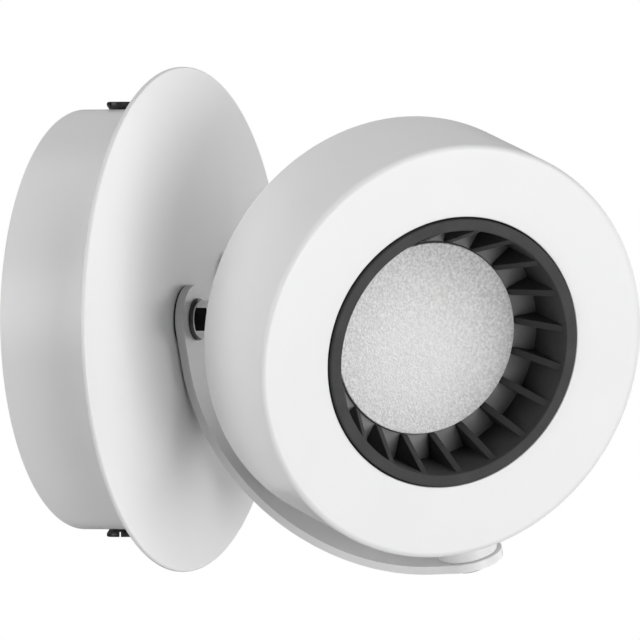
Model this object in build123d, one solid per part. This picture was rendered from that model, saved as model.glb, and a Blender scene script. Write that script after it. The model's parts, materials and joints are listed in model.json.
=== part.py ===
from build123d import *
import os
from math import cos, pi, radians, sin

# Wall light with one turning spot head. Millimetres.
# World frame: the wall is the plane Y = 0, the lamp stands out towards -Y, +Z is up,
# and the origin is the middle of the canopy's rear rim.

# Pose that the solids are modelled in
ARM_TURN = 22.9
HEAD_PAN = 42.2

# Canopy
DRUM_DIAMETER = 100.0
DRUM_DEPTH = 25.0
DRUM_WALL = 1.0
DISC_DIAMETER = 120.0
DISC_THICKNESS = 1.25
DISC_EDGE_ROUND = 0.4

# Wall bracket and its screws
BRACKET_WIDTH = 20.0
BRACKET_THICKNESS = 1.5
FLANGE_DEPTH = 14.0
SLOT_SPACING = 60.0
SLOT_LENGTH = 12.0
SLOT_WIDTH = 4.5
CABLE_HOLE_DIAMETER = 13.0
CABLE_BUSH_BORE = 8.0
CABLE_BUSH_LIP = 2.0
CABLE_BUSH_LIP_THICKNESS = 1.5
EAR_LENGTH = 24.0
EAR_HEIGHT = 20.0

# Screws in the side of the drum
SIDE_SCREW_DIAMETER = 4.0
SIDE_SCREW_SEAT_DIAMETER = 5.2
SIDE_SCREW_HEAD_DIAMETER = 6.4
SIDE_SCREW_CONE = 0.9
SIDE_SCREW_HEAD_RIM = 0.4
SIDE_SCREW_HEAD_CHAMFER = 0.5
SIDE_SCREW_REACH = 9.0
SIDE_SCREW_FROM_WALL = 9.0
SIDE_SCREW_SLOT = 1.0
SIDE_SCREW_SLOT_DEPTH = 0.8

# First pivot, through the middle of the canopy
PIVOT_DIAMETER = 5.0
HEX_ACROSS_FLATS = 8.0
HEX_HEAD_HEIGHT = 3.5
INNER_WASHER_THICKNESS = 1.0
SPACER_DIAMETER = 16.0
SPACER_THICKNESS = 0.5
WASHER_DIAMETER = 10.0
WASHER_THICKNESS = 0.8
NUT_DIAMETER = 9.2
NUT_ACROSS_FLATS = 7.2
NUT_HEIGHT = 3.7
NUT_CHAMFER = 0.4
STUD_SHORT_OF_NUT = 0.3

# Earth point
EARTH_HEIGHT = 17.0
EARTH_SCREW_DIAMETER = 4.0
EARTH_HEAD_DIAMETER = 7.0
EARTH_HEAD_HEIGHT = 2.2
EARTH_WASHER_DIAMETER = 9.0
EARTH_WASHER_THICKNESS = 0.8

# Terminal block
TERMINAL_LENGTH = 20.0
TERMINAL_WIDTH = 16.0
TERMINAL_HEIGHT = 11.0
TERMINAL_EDGE = 2.0
TERMINAL_POLES = 3
TERMINAL_PITCH = 5.0
TERMINAL_SCREW_DIAMETER = 2.8
TERMINAL_SCREW_LENGTH = 4.0
TERMINAL_SCREW_SUNK = 1.0
TERMINAL_WIRE_HOLE = 2.6
TERMINAL_WIRE_HEIGHT = 3.7
FIXING_SCREW_DIAMETER = 3.0
FIXING_HEAD_DIAMETER = 5.0
FIXING_HEAD_HEIGHT = 2.0

# LED driver
DRIVER_WIDTH = 24.0
DRIVER_LENGTH = 44.0
DRIVER_HEIGHT = 17.0
DRIVER_WALL = 1.2
DRIVER_FROM_CENTRE = 14.0
DRIVER_PAD_THICKNESS = 1.0
DRIVER_PAD_MARGIN = 2.0
DRIVER_RAIL_WIDTH = 1.5
DRIVER_RAIL_HEIGHT = 3.0
DRIVER_BOARD_THICKNESS = 1.6
TRANSFORMER_SIZE = 13.0
TRANSFORMER_HEIGHT = 9.0
TRANSFORMER_OFFSET = 10.0
CAPACITOR_DIAMETER = 8.0
CAPACITOR_HEIGHT = 9.0
CAPACITOR_OFFSET = 11.0

# Grommets for the lead between canopy and head
GROMMET_HOLE = 9.0
GROMMET_BORE = 5.4
GROMMET_LIP = 1.5
GROMMET_LIP_THICKNESS = 1.2
GROMMET_X = 25.0
GROMMET_Y = 10.0

# Arm
ARM_WIDTH = 16.4
ARM_THICKNESS = 2.0
ARM_INNER_RADIUS = 51.4
ARM_BEND = 92.6
ARM_ROOT = 8.9
ARM_TIP = 6.3

# Spot head
HEAD_DIAMETER = 100.0
HEAD_DEPTH = 31.6
HEAD_WALL = 1.5
HEAD_FRONT_ROUND = 1.4
HEAD_INSIDE_ROUND = 1.4
HEAD_REAR_ROUND = 0.6
PIVOT_BEHIND_FACE = 15.8
BOSS_DIAMETER = 14.4
BOSS_HEIGHT = 5.45

# Rear cover of the head
COVER_THICKNESS = 1.5
COVER_SUNK = 0.3
POST_DIAMETER = 7.0
POST_CIRCLE_RADIUS = 43.5
POST_COUNT = 4
POST_FIRST_ANGLE = 45.0
COVER_SCREW_DIAMETER = 3.0
COVER_SCREW_HEAD = 5.6
COVER_SCREW_LENGTH = 9.0

# Heat sink
RING_DIAMETER = 64.6
RIM_WIDTH = 2.8
RIM_PROUD = 0.8
RIM_ROUND = 0.4
SHADOW_GAP = 0.4
FIN_FLOOR_DEPTH = 15.0
SINK_DEPTH = 24.0
SINK_FLOOR = 2.5
CUP_WALL_DIAMETER = 53.6
FIN_COUNT = 20
FIN_THICKNESS = 1.7
FIN_START = 0.5
FIN_TO_DIFFUSER = 0.2
FIN_PHASE = -8.3
SINK_FLANGE_AT = 8.0
SINK_FLANGE_THICKNESS = 2.5
SINK_FLANGE_WIDTH = 3.5
SINK_SCREW_CIRCLE_RADIUS = 40.0
SINK_SCREW_COUNT = 4
SINK_SCREW_FIRST_ANGLE = 0.0
SINK_SCREW_DIAMETER = 3.0
SINK_SCREW_HEAD = 5.4
SINK_SCREW_HEAD_HEIGHT = 1.8
SINK_SCREW_LENGTH = 6.5
SINK_BOSS_DIAMETER = 6.4
SINK_EAR_DIAMETER = 8.0

# Light source
DIFFUSER_DIAMETER = 46.4
DIFFUSER_DEPTH = 14.1
DIFFUSER_THICKNESS = 2.0
DIFFUSER_SEAT = 1.5
BOARD_THICKNESS = 1.6
BOARD_MARGIN = 0.4
PAD_THICKNESS = 0.5
PAD_MARGIN = 1.5
CHIP_SIZE = 3.2
CHIP_HEIGHT = 0.8
CHIP_RING_RADIUS = 8.0
CHIP_RING_COUNT = 8
REFLECTOR_WALL = 0.8
REFLECTOR_LEAN = 2.6
BOARD_SCREW_COUNT = 3
BOARD_SCREW_FIRST_ANGLE = 90.0
BOARD_SCREW_CIRCLE_RADIUS = 14.5
BOARD_SCREW_DIAMETER = 2.5
BOARD_SCREW_HEAD = 4.4
BOARD_SCREW_HEAD_HEIGHT = 1.6
BOARD_SCREW_REACH = 3.5

# Second pivot, between the arm's tip and the head
NUT_PLATE_WIDTH = 14.0
NUT_PLATE_LENGTH = 10.0
NUT_PLATE_HEIGHT = 4.0
TIP_WASHER_DIAMETER = 9.0
TIP_WASHER_THICKNESS = 0.4
TIP_HEAD_DIAMETER = 8.6
TIP_HEAD_HEIGHT = 1.4
TIP_HEX = 3.0
TIP_HEX_DEPTH = 0.9

# Clearances
FIT = 0.05
RUN_GAP = 0.05
SLIP = 0.1
WASHER_PLAY = 0.15

# Places along the axis that stands out from the wall
DRUM_RADIUS = DRUM_DIAMETER / 2
DRUM_BORE = DRUM_RADIUS - DRUM_WALL
DRUM_FRONT_INSIDE = DRUM_DEPTH - DRUM_WALL
DISC_FRONT = DRUM_DEPTH + DISC_THICKNESS
ARM_BACK = DISC_FRONT + SPACER_THICKNESS + RUN_GAP
ARM_FACE = ARM_BACK + ARM_THICKNESS
NUT_BACK = ARM_FACE + RUN_GAP + WASHER_THICKNESS
STUD_END = NUT_BACK + NUT_HEIGHT - STUD_SHORT_OF_NUT
FLANGE_RADIUS = DRUM_BORE - SLIP
PIVOT_RADIUS = PIVOT_DIAMETER / 2
GROMMET_PLACE = (GROMMET_X, GROMMET_Y)

# Places in the head, as depths behind its front face
HEAD_RADIUS = HEAD_DIAMETER / 2
HEAD_BORE = HEAD_RADIUS - HEAD_WALL
COVER_BACK = HEAD_DEPTH - COVER_SUNK
COVER_FRONT = COVER_BACK - COVER_THICKNESS
RING_RADIUS = RING_DIAMETER / 2
TROUGH_RADIUS = RING_RADIUS - RIM_WIDTH
CUP_RADIUS = CUP_WALL_DIAMETER / 2
DIFFUSER_RADIUS = DIFFUSER_DIAMETER / 2
DIFFUSER_BACK = DIFFUSER_DEPTH + DIFFUSER_THICKNESS
LIGHT_BORE = DIFFUSER_RADIUS - DIFFUSER_SEAT
BOARD_BACK = SINK_DEPTH - PAD_THICKNESS
BOARD_FRONT = BOARD_BACK - BOARD_THICKNESS
BOARD_RADIUS = LIGHT_BORE - BOARD_MARGIN

# The arm's side view: distance out from the wall, and distance below the first pivot
BEND = radians(ARM_BEND)
ARC_OUT = ARM_FACE + ARM_INNER_RADIUS
TIP_DIRECTION = (sin(BEND), cos(BEND))
TIP_NORMAL = (-cos(BEND), sin(BEND))
ARC_END = (ARC_OUT - ARM_INNER_RADIUS * cos(BEND), ARM_ROOT + ARM_INNER_RADIUS * sin(BEND))
TIP_FACE = (ARC_END[0] + ARM_TIP * TIP_DIRECTION[0], ARC_END[1] + ARM_TIP * TIP_DIRECTION[1])
HEAD_REACH = HEAD_RADIUS + BOSS_HEIGHT + RUN_GAP
HEAD_OUT = TIP_FACE[0] - HEAD_REACH * TIP_NORMAL[0]
HEAD_DROP = TIP_FACE[1] - HEAD_REACH * TIP_NORMAL[1]

# Frames. The canopy frame has x right, y up and z out from the wall.
CANOPY = Rot(90, 0, 0)
ARM = CANOPY * Rot(0, 0, ARM_TURN)
HEAD_STRAIGHT = ARM * Pos(0, -HEAD_DROP, HEAD_OUT) * Rot(90 - ARM_BEND, 0, 0)
HEAD = HEAD_STRAIGHT * Rot(0, -HEAD_PAN, 0)

PARTS = {}


def add(name, shape, frame):
    """Keep a finished piece, moved from its own frame to the world frame."""
    PARTS[name] = frame * shape


def rod(radius, start, end, place=(0, 0)):
    """Cylinder along z from one height to another."""
    middle = Pos(place[0], place[1], (start + end) / 2)
    return middle * Cylinder(radius, abs(end - start))


def tube(outer, inner, start, end, place=(0, 0)):
    """Plain ring along z."""
    return rod(outer, start, end, place) - rod(inner, start, end, place)


def block(x_range, y_range, z_range):
    """Box given by its two corners."""
    lengths = [high - low for low, high in (x_range, y_range, z_range)]
    middle = [(high + low) / 2 for low, high in (x_range, y_range, z_range)]
    return Pos(*middle) * Box(*lengths)


def cone(start_radius, end_radius, start, end, place=(0, 0)):
    """Cone along z between two heights, with start below end."""
    return Pos(place[0], place[1], (start + end) / 2) * Cone(start_radius, end_radius, end - start)


def hexagon(start, end):
    """Hexagon bar along z with two flats across x."""
    corner_radius = HEX_ACROSS_FLATS / 2 / cos(pi / 6)
    outline = Pos(0, 0, start) * RegularPolygon(corner_radius, 6, rotation=30)
    return extrude(outline, end - start)


def turned(points):
    """Solid of revolution about z from (radius, height) points."""
    outline = make_face(Polyline(*[(radius, 0, height) for radius, height in points], close=True))
    return revolve(outline, Axis.Z)


def ring_places(radius, count, first_angle):
    """Evenly spaced places on a circle."""
    angles = [radians(first_angle + 360 * step / count) for step in range(count)]
    return [(radius * cos(angle), radius * sin(angle)) for angle in angles]


def group(solids):
    """Several separate solids kept as one node."""
    return Compound(children=list(solids))


def grommet(start, end, place):
    """Push-in grommet for a panel that reaches from start to end."""
    body = GROMMET_HOLE / 2 - FIT
    lip = GROMMET_HOLE / 2 + GROMMET_LIP
    shape = rod(body, start, end, place)
    shape += rod(lip, start - GROMMET_LIP_THICKNESS, start, place)
    shape += rod(lip, end, end + GROMMET_LIP_THICKNESS, place)
    return shape - rod(GROMMET_BORE / 2, start - GROMMET_LIP_THICKNESS, end + GROMMET_LIP_THICKNESS, place)


def make_drum():
    """Drum, open to the wall, with holes for the pivot, the lead and the side screws."""
    drum = rod(DRUM_RADIUS, 0, DRUM_DEPTH) - rod(DRUM_BORE, 0, DRUM_FRONT_INSIDE)
    drum -= rod(PIVOT_RADIUS + FIT, DRUM_FRONT_INSIDE, DRUM_DEPTH)
    drum -= rod(GROMMET_HOLE / 2, DRUM_FRONT_INSIDE, DRUM_DEPTH, GROMMET_PLACE)
    for turn in (0, 180):
        drum -= side_screw_frame(turn) * rod(SIDE_SCREW_DIAMETER / 2 + FIT, 0, DRUM_DIAMETER)
    add("canopy_drum", drum, CANOPY)


def side_screw_frame(turn):
    """Frame whose z axis runs out through a side screw; turn 0 is the top screw."""
    return Rot(0, 0, turn) * Pos(0, 0, SIDE_SCREW_FROM_WALL) * Rot(-90, 0, 0)


def make_disc():
    """Thin plate on the front of the drum."""
    disc = rod(DISC_DIAMETER / 2, DRUM_DEPTH, DISC_FRONT)
    disc = fillet(disc.edges().filter_by(GeomType.CIRCLE), DISC_EDGE_ROUND)
    disc -= rod(PIVOT_RADIUS + FIT, DRUM_DEPTH, DISC_FRONT)
    disc -= rod(GROMMET_HOLE / 2, DRUM_DEPTH, DISC_FRONT, GROMMET_PLACE)
    add("backing_disc", disc, CANOPY)
    add("canopy_grommet", grommet(DRUM_FRONT_INSIDE, DISC_FRONT, GROMMET_PLACE), CANOPY)


def make_bracket():
    """Strap against the wall, with flanges that follow the drum and an ear for the terminals."""
    half = BRACKET_WIDTH / 2
    strap = block((-half, half), (-FLANGE_RADIUS, FLANGE_RADIUS), (0, BRACKET_THICKNESS))
    strap &= rod(FLANGE_RADIUS, 0, BRACKET_THICKNESS)
    flanges = tube(FLANGE_RADIUS, FLANGE_RADIUS - BRACKET_THICKNESS, 0, FLANGE_DEPTH)
    flanges &= block((-half, half), (-FLANGE_RADIUS, FLANGE_RADIUS), (0, FLANGE_DEPTH))
    ear = block((0, half + EAR_LENGTH), (-EAR_HEIGHT / 2, EAR_HEIGHT / 2), (0, BRACKET_THICKNESS))
    bracket = strap + flanges + ear
    for side in (-1, 1):
        slot = Pos(0, side * SLOT_SPACING / 2, 0) * SlotOverall(SLOT_LENGTH, SLOT_WIDTH, rotation=90)
        bracket -= extrude(slot, BRACKET_THICKNESS)
    bracket -= rod(CABLE_HOLE_DIAMETER / 2, 0, BRACKET_THICKNESS)
    bracket -= rod(EARTH_SCREW_DIAMETER / 2 + FIT, 0, BRACKET_THICKNESS, (0, EARTH_HEIGHT))
    bracket -= rod(FIXING_SCREW_DIAMETER / 2 + FIT, 0, BRACKET_THICKNESS, (terminal_middle(), 0))
    for turn in (0, 180):
        bracket -= side_screw_frame(turn) * rod(SIDE_SCREW_DIAMETER / 2 + FIT, 0, DRUM_RADIUS)
    add("wall_bracket", bracket, CANOPY)

    body = CABLE_HOLE_DIAMETER / 2 - FIT
    lip_end = BRACKET_THICKNESS + CABLE_BUSH_LIP_THICKNESS
    bush = rod(body, 0, BRACKET_THICKNESS)
    bush += rod(CABLE_HOLE_DIAMETER / 2 + CABLE_BUSH_LIP, BRACKET_THICKNESS, lip_end)
    bush -= rod(CABLE_BUSH_BORE / 2, 0, lip_end)
    add("cable_bush", bush, CANOPY)


def make_side_screws():
    """Screws that hold the drum on the bracket; their heads stand on the sheet."""
    cone_top = DRUM_RADIUS + SIDE_SCREW_CONE
    rim_top = cone_top + SIDE_SCREW_HEAD_RIM
    head_top = rim_top + SIDE_SCREW_HEAD_CHAMFER
    head = SIDE_SCREW_HEAD_DIAMETER / 2
    screw = rod(SIDE_SCREW_DIAMETER / 2, DRUM_RADIUS - SIDE_SCREW_REACH, DRUM_RADIUS)
    screw += cone(SIDE_SCREW_SEAT_DIAMETER / 2, head, DRUM_RADIUS, cone_top)
    screw += rod(head, cone_top, rim_top)
    screw += cone(head, head - SIDE_SCREW_HEAD_CHAMFER, rim_top, head_top)
    for slot_length, slot_width in ((head * 2, SIDE_SCREW_SLOT), (SIDE_SCREW_SLOT, head * 2)):
        slot = Box(slot_length, slot_width, SIDE_SCREW_SLOT_DEPTH)
        screw -= Pos(0, 0, head_top - SIDE_SCREW_SLOT_DEPTH / 2) * slot
    add("side_screws", group(side_screw_frame(turn) * screw for turn in (0, 180)), CANOPY)


def make_first_pivot():
    """Screw, washers and nut that carry the arm on the middle of the canopy."""
    hole = PIVOT_RADIUS + WASHER_PLAY
    head_front = DRUM_FRONT_INSIDE - INNER_WASHER_THICKNESS
    screw = hexagon(head_front - HEX_HEAD_HEIGHT, head_front)
    screw += rod(PIVOT_RADIUS, head_front, STUD_END)
    add("pivot_screw", screw, CANOPY)
    add("inner_washer", tube(WASHER_DIAMETER / 2, hole, head_front, DRUM_FRONT_INSIDE), CANOPY)
    spacer_front = DISC_FRONT + SPACER_THICKNESS
    add("spacer_washer", tube(SPACER_DIAMETER / 2, hole, DISC_FRONT, spacer_front), CANOPY)
    add("front_washer", tube(WASHER_DIAMETER / 2, hole, NUT_BACK - WASHER_THICKNESS, NUT_BACK), CANOPY)
    radius = NUT_DIAMETER / 2
    half_flats = NUT_ACROSS_FLATS / 2
    nut_front = NUT_BACK + NUT_HEIGHT
    nut = rod(radius, NUT_BACK, nut_front - NUT_CHAMFER)
    nut += cone(radius, radius - NUT_CHAMFER, nut_front - NUT_CHAMFER, nut_front)
    nut &= block((-half_flats, half_flats), (-radius, radius), (NUT_BACK, nut_front))
    nut -= rod(PIVOT_RADIUS + FIT, NUT_BACK, nut_front)
    add("pivot_nut", nut, CANOPY)


def terminal_middle():
    """Distance of the terminal block's middle from the first pivot."""
    return BRACKET_WIDTH / 2 + EAR_LENGTH - TERMINAL_EDGE - TERMINAL_LENGTH / 2


def make_terminals():
    """Terminal block on the bracket's ear, with its clamp screws and the screw that holds it."""
    middle = terminal_middle()
    back = BRACKET_THICKNESS
    front = back + TERMINAL_HEIGHT
    sides = (middle - TERMINAL_LENGTH / 2, middle + TERMINAL_LENGTH / 2)
    body = block(sides, (-TERMINAL_WIDTH / 2, TERMINAL_WIDTH / 2), (back, front))
    rows = [TERMINAL_PITCH * (step - (TERMINAL_POLES - 1) / 2) for step in range(TERMINAL_POLES)]
    wire_height = back + TERMINAL_WIRE_HEIGHT
    clamp_top = front - TERMINAL_SCREW_SUNK
    clamps = []
    for row in rows:
        wire_hole = Rot(0, 90, 0) * Cylinder(TERMINAL_WIRE_HOLE / 2, TERMINAL_LENGTH)
        body -= Pos(middle, row, wire_height) * wire_hole
        for side in (-1, 1):
            place = (middle + side * TERMINAL_LENGTH / 4, row)
            bottom = clamp_top - TERMINAL_SCREW_LENGTH
            body -= rod(TERMINAL_SCREW_DIAMETER / 2 + FIT, bottom, front, place)
            clamps.append(rod(TERMINAL_SCREW_DIAMETER / 2, bottom, clamp_top, place))
    head_bottom = front - FIXING_HEAD_HEIGHT
    body -= rod(FIXING_SCREW_DIAMETER / 2 + FIT, back, front, (middle, 0))
    body -= rod(FIXING_HEAD_DIAMETER / 2 + FIT, head_bottom, front, (middle, 0))
    fixing = rod(FIXING_SCREW_DIAMETER / 2, 0, head_bottom, (middle, 0))
    fixing += rod(FIXING_HEAD_DIAMETER / 2, head_bottom, front, (middle, 0))
    add("terminal_block", body, CANOPY)
    add("terminal_screws", group(clamps), CANOPY)
    add("terminal_fixing_screw", fixing, CANOPY)


def make_earth():
    """Earth screw and washer on the strap above the cable hole."""
    place = (0, EARTH_HEIGHT)
    seat = BRACKET_THICKNESS + EARTH_WASHER_THICKNESS
    hole = EARTH_SCREW_DIAMETER / 2 + WASHER_PLAY
    screw = rod(EARTH_SCREW_DIAMETER / 2, 0, seat, place)
    screw += rod(EARTH_HEAD_DIAMETER / 2, seat, seat + EARTH_HEAD_HEIGHT, place)
    add("earth_screw", screw, CANOPY)
    add("earth_washer", tube(EARTH_WASHER_DIAMETER / 2, hole, BRACKET_THICKNESS, seat, place), CANOPY)


def make_driver():
    """LED driver: a case stuck inside the drum's front, with its board, parts and lid."""
    sides = (-DRIVER_FROM_CENTRE - DRIVER_WIDTH, -DRIVER_FROM_CENTRE)
    ends = (-DRIVER_LENGTH / 2, DRIVER_LENGTH / 2)
    front = DRUM_FRONT_INSIDE - DRIVER_PAD_THICKNESS
    back = front - DRIVER_HEIGHT
    lid_front = back + DRIVER_WALL
    floor = front - DRIVER_WALL
    inner_sides = (sides[0] + DRIVER_WALL, sides[1] - DRIVER_WALL)
    inner_ends = (ends[0] + DRIVER_WALL, ends[1] - DRIVER_WALL)
    rail_back = floor - DRIVER_RAIL_HEIGHT
    board_back = rail_back - DRIVER_BOARD_THICKNESS
    middle = (sides[0] + sides[1]) / 2

    case = block(sides, ends, (lid_front, front)) - block(inner_sides, inner_ends, (lid_front, floor))
    case += block((inner_sides[0], inner_sides[0] + DRIVER_RAIL_WIDTH), inner_ends, (rail_back, floor))
    case += block((inner_sides[1] - DRIVER_RAIL_WIDTH, inner_sides[1]), inner_ends, (rail_back, floor))
    add("driver_case", case, CANOPY)
    add("driver_lid", block(sides, ends, (back, lid_front)), CANOPY)

    pad_sides = (sides[0] + DRIVER_PAD_MARGIN, sides[1] - DRIVER_PAD_MARGIN)
    pad_ends = (ends[0] + DRIVER_PAD_MARGIN, ends[1] - DRIVER_PAD_MARGIN)
    add("driver_pad", block(pad_sides, pad_ends, (front, DRUM_FRONT_INSIDE)), CANOPY)

    board_sides = (inner_sides[0] + SLIP, inner_sides[1] - SLIP)
    board_ends = (inner_ends[0] + SLIP, inner_ends[1] - SLIP)
    add("driver_board", block(board_sides, board_ends, (board_back, rail_back)), CANOPY)

    half = TRANSFORMER_SIZE / 2
    core_ends = (TRANSFORMER_OFFSET - half, TRANSFORMER_OFFSET + half)
    core_heights = (board_back - TRANSFORMER_HEIGHT, board_back)
    add("driver_transformer", block((middle - half, middle + half), core_ends, core_heights), CANOPY)
    can_place = (middle, -CAPACITOR_OFFSET)
    can = rod(CAPACITOR_DIAMETER / 2, board_back - CAPACITOR_HEIGHT, board_back, can_place)
    add("driver_capacitor", can, CANOPY)


def make_arm():
    """Strip bent through a quarter turn, with round ends about its two pivots."""
    outer_radius = ARM_INNER_RADIUS + ARM_THICKNESS
    bow = (ARC_OUT, ARM_ROOT)
    bow_end = (ARC_OUT - outer_radius * cos(BEND), ARM_ROOT + outer_radius * sin(BEND))
    tip_back = (TIP_FACE[0] + ARM_THICKNESS * TIP_NORMAL[0], TIP_FACE[1] + ARM_THICKNESS * TIP_NORMAL[1])
    outline = [
        Line((ARM_BACK, 0), (ARM_FACE, 0)),
        Line((ARM_FACE, 0), (ARM_FACE, ARM_ROOT)),
        CenterArc(bow, ARM_INNER_RADIUS, 180, -ARM_BEND),
        Line(ARC_END, TIP_FACE),
        Line(TIP_FACE, tip_back),
        Line(tip_back, bow_end),
        CenterArc(bow, outer_radius, 180 - ARM_BEND, ARM_BEND),
        Line((ARM_BACK, ARM_ROOT), (ARM_BACK, 0)),
    ]
    side_view = Plane(origin=(0, 0, 0), x_dir=(0, 0, 1), z_dir=(1, 0, 0))
    strip = extrude(side_view * make_face(outline), ARM_WIDTH / 2, both=True)
    strip += rod(ARM_WIDTH / 2, ARM_BACK, ARM_FACE)
    tip = Pos(0, -TIP_FACE[1], TIP_FACE[0]) * Rot(90 - ARM_BEND, 0, 0) * Rot(90, 0, 0)
    strip += tip * rod(ARM_WIDTH / 2, 0, ARM_THICKNESS)
    strip -= rod(PIVOT_RADIUS + FIT, ARM_BACK, ARM_FACE)
    strip -= tip * rod(PIVOT_RADIUS + FIT, 0, ARM_THICKNESS)
    add("arm_strip", strip, ARM)


def behind(depth):
    """Height in the head's frame of a point behind its front face; the second pivot is at 0."""
    return PIVOT_BEHIND_FACE - depth


def sunk(radius, start, end, place=(0, 0)):
    """Cylinder on the head's axis between two depths behind the front face."""
    return rod(radius, behind(end), behind(start), place)


def downward():
    """Frame on the second pivot whose z axis points down from the head to the arm."""
    return Rot(90, 0, 0)


POSTS = ring_places(POST_CIRCLE_RADIUS, POST_COUNT, POST_FIRST_ANGLE)
SINK_SCREWS = ring_places(SINK_SCREW_CIRCLE_RADIUS, SINK_SCREW_COUNT, SINK_SCREW_FIRST_ANGLE)
BOARD_SCREWS = ring_places(BOARD_SCREW_CIRCLE_RADIUS, BOARD_SCREW_COUNT, BOARD_SCREW_FIRST_ANGLE)


def make_head_shell():
    """White cup with a round window in its front, posts for the cover, bosses for the heat sink."""
    cup = sunk(HEAD_RADIUS, 0, HEAD_DEPTH)
    rims = cup.edges().filter_by(GeomType.CIRCLE).sort_by(Axis.Z)
    cup = fillet(rims[-1], HEAD_FRONT_ROUND)
    rims = cup.edges().filter_by(GeomType.CIRCLE).sort_by(Axis.Z)
    cup = fillet(rims[0], HEAD_REAR_ROUND)
    hollow = sunk(HEAD_BORE, HEAD_WALL, HEAD_DEPTH)
    hollow = fillet(hollow.edges().filter_by(GeomType.CIRCLE).sort_by(Axis.Z)[-1], HEAD_INSIDE_ROUND)
    cup -= hollow
    for place in POSTS:
        cup += sunk(POST_DIAMETER / 2, HEAD_WALL / 2, COVER_FRONT, place)
        cup -= sunk(COVER_SCREW_DIAMETER / 2 + FIT, COVER_BACK - COVER_SCREW_LENGTH, COVER_FRONT, place)
    for place in SINK_SCREWS:
        cup += sunk(SINK_BOSS_DIAMETER / 2, HEAD_WALL / 2, SINK_FLANGE_AT, place)
        cup -= sunk(SINK_SCREW_DIAMETER / 2 + FIT, sink_screw_end(), SINK_FLANGE_AT, place)
    cup -= sunk(RING_RADIUS + SHADOW_GAP, 0, HEAD_WALL)
    cup -= downward() * rod(PIVOT_RADIUS + FIT, HEAD_BORE - HEAD_WALL, HEAD_RADIUS + HEAD_WALL)
    add("head_shell", cup, HEAD)


def sink_screw_end():
    """Depth of the front end of a heat sink screw."""
    return SINK_FLANGE_AT + SINK_FLANGE_THICKNESS - SINK_SCREW_LENGTH


def make_rear_cover():
    """Flat cover sunk into the back of the shell, its countersunk screws and the lead's grommet."""
    shank = COVER_SCREW_DIAMETER / 2
    head = COVER_SCREW_HEAD / 2
    cover = sunk(HEAD_BORE - SLIP, COVER_FRONT, COVER_BACK)
    screws = []
    for place in POSTS:
        cover -= cone(head + FIT, shank + FIT, behind(COVER_BACK), behind(COVER_FRONT), place)
        screw = cone(head, shank, behind(COVER_BACK), behind(COVER_FRONT), place)
        screw += sunk(shank, COVER_BACK - COVER_SCREW_LENGTH, COVER_FRONT, place)
        screws.append(screw)
    cover -= sunk(GROMMET_HOLE / 2, COVER_FRONT, COVER_BACK)
    add("rear_cover", cover, HEAD)
    add("rear_cover_screws", group(screws), HEAD)
    add("head_grommet", grommet(behind(COVER_BACK), behind(COVER_FRONT), (0, 0)), HEAD)


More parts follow.
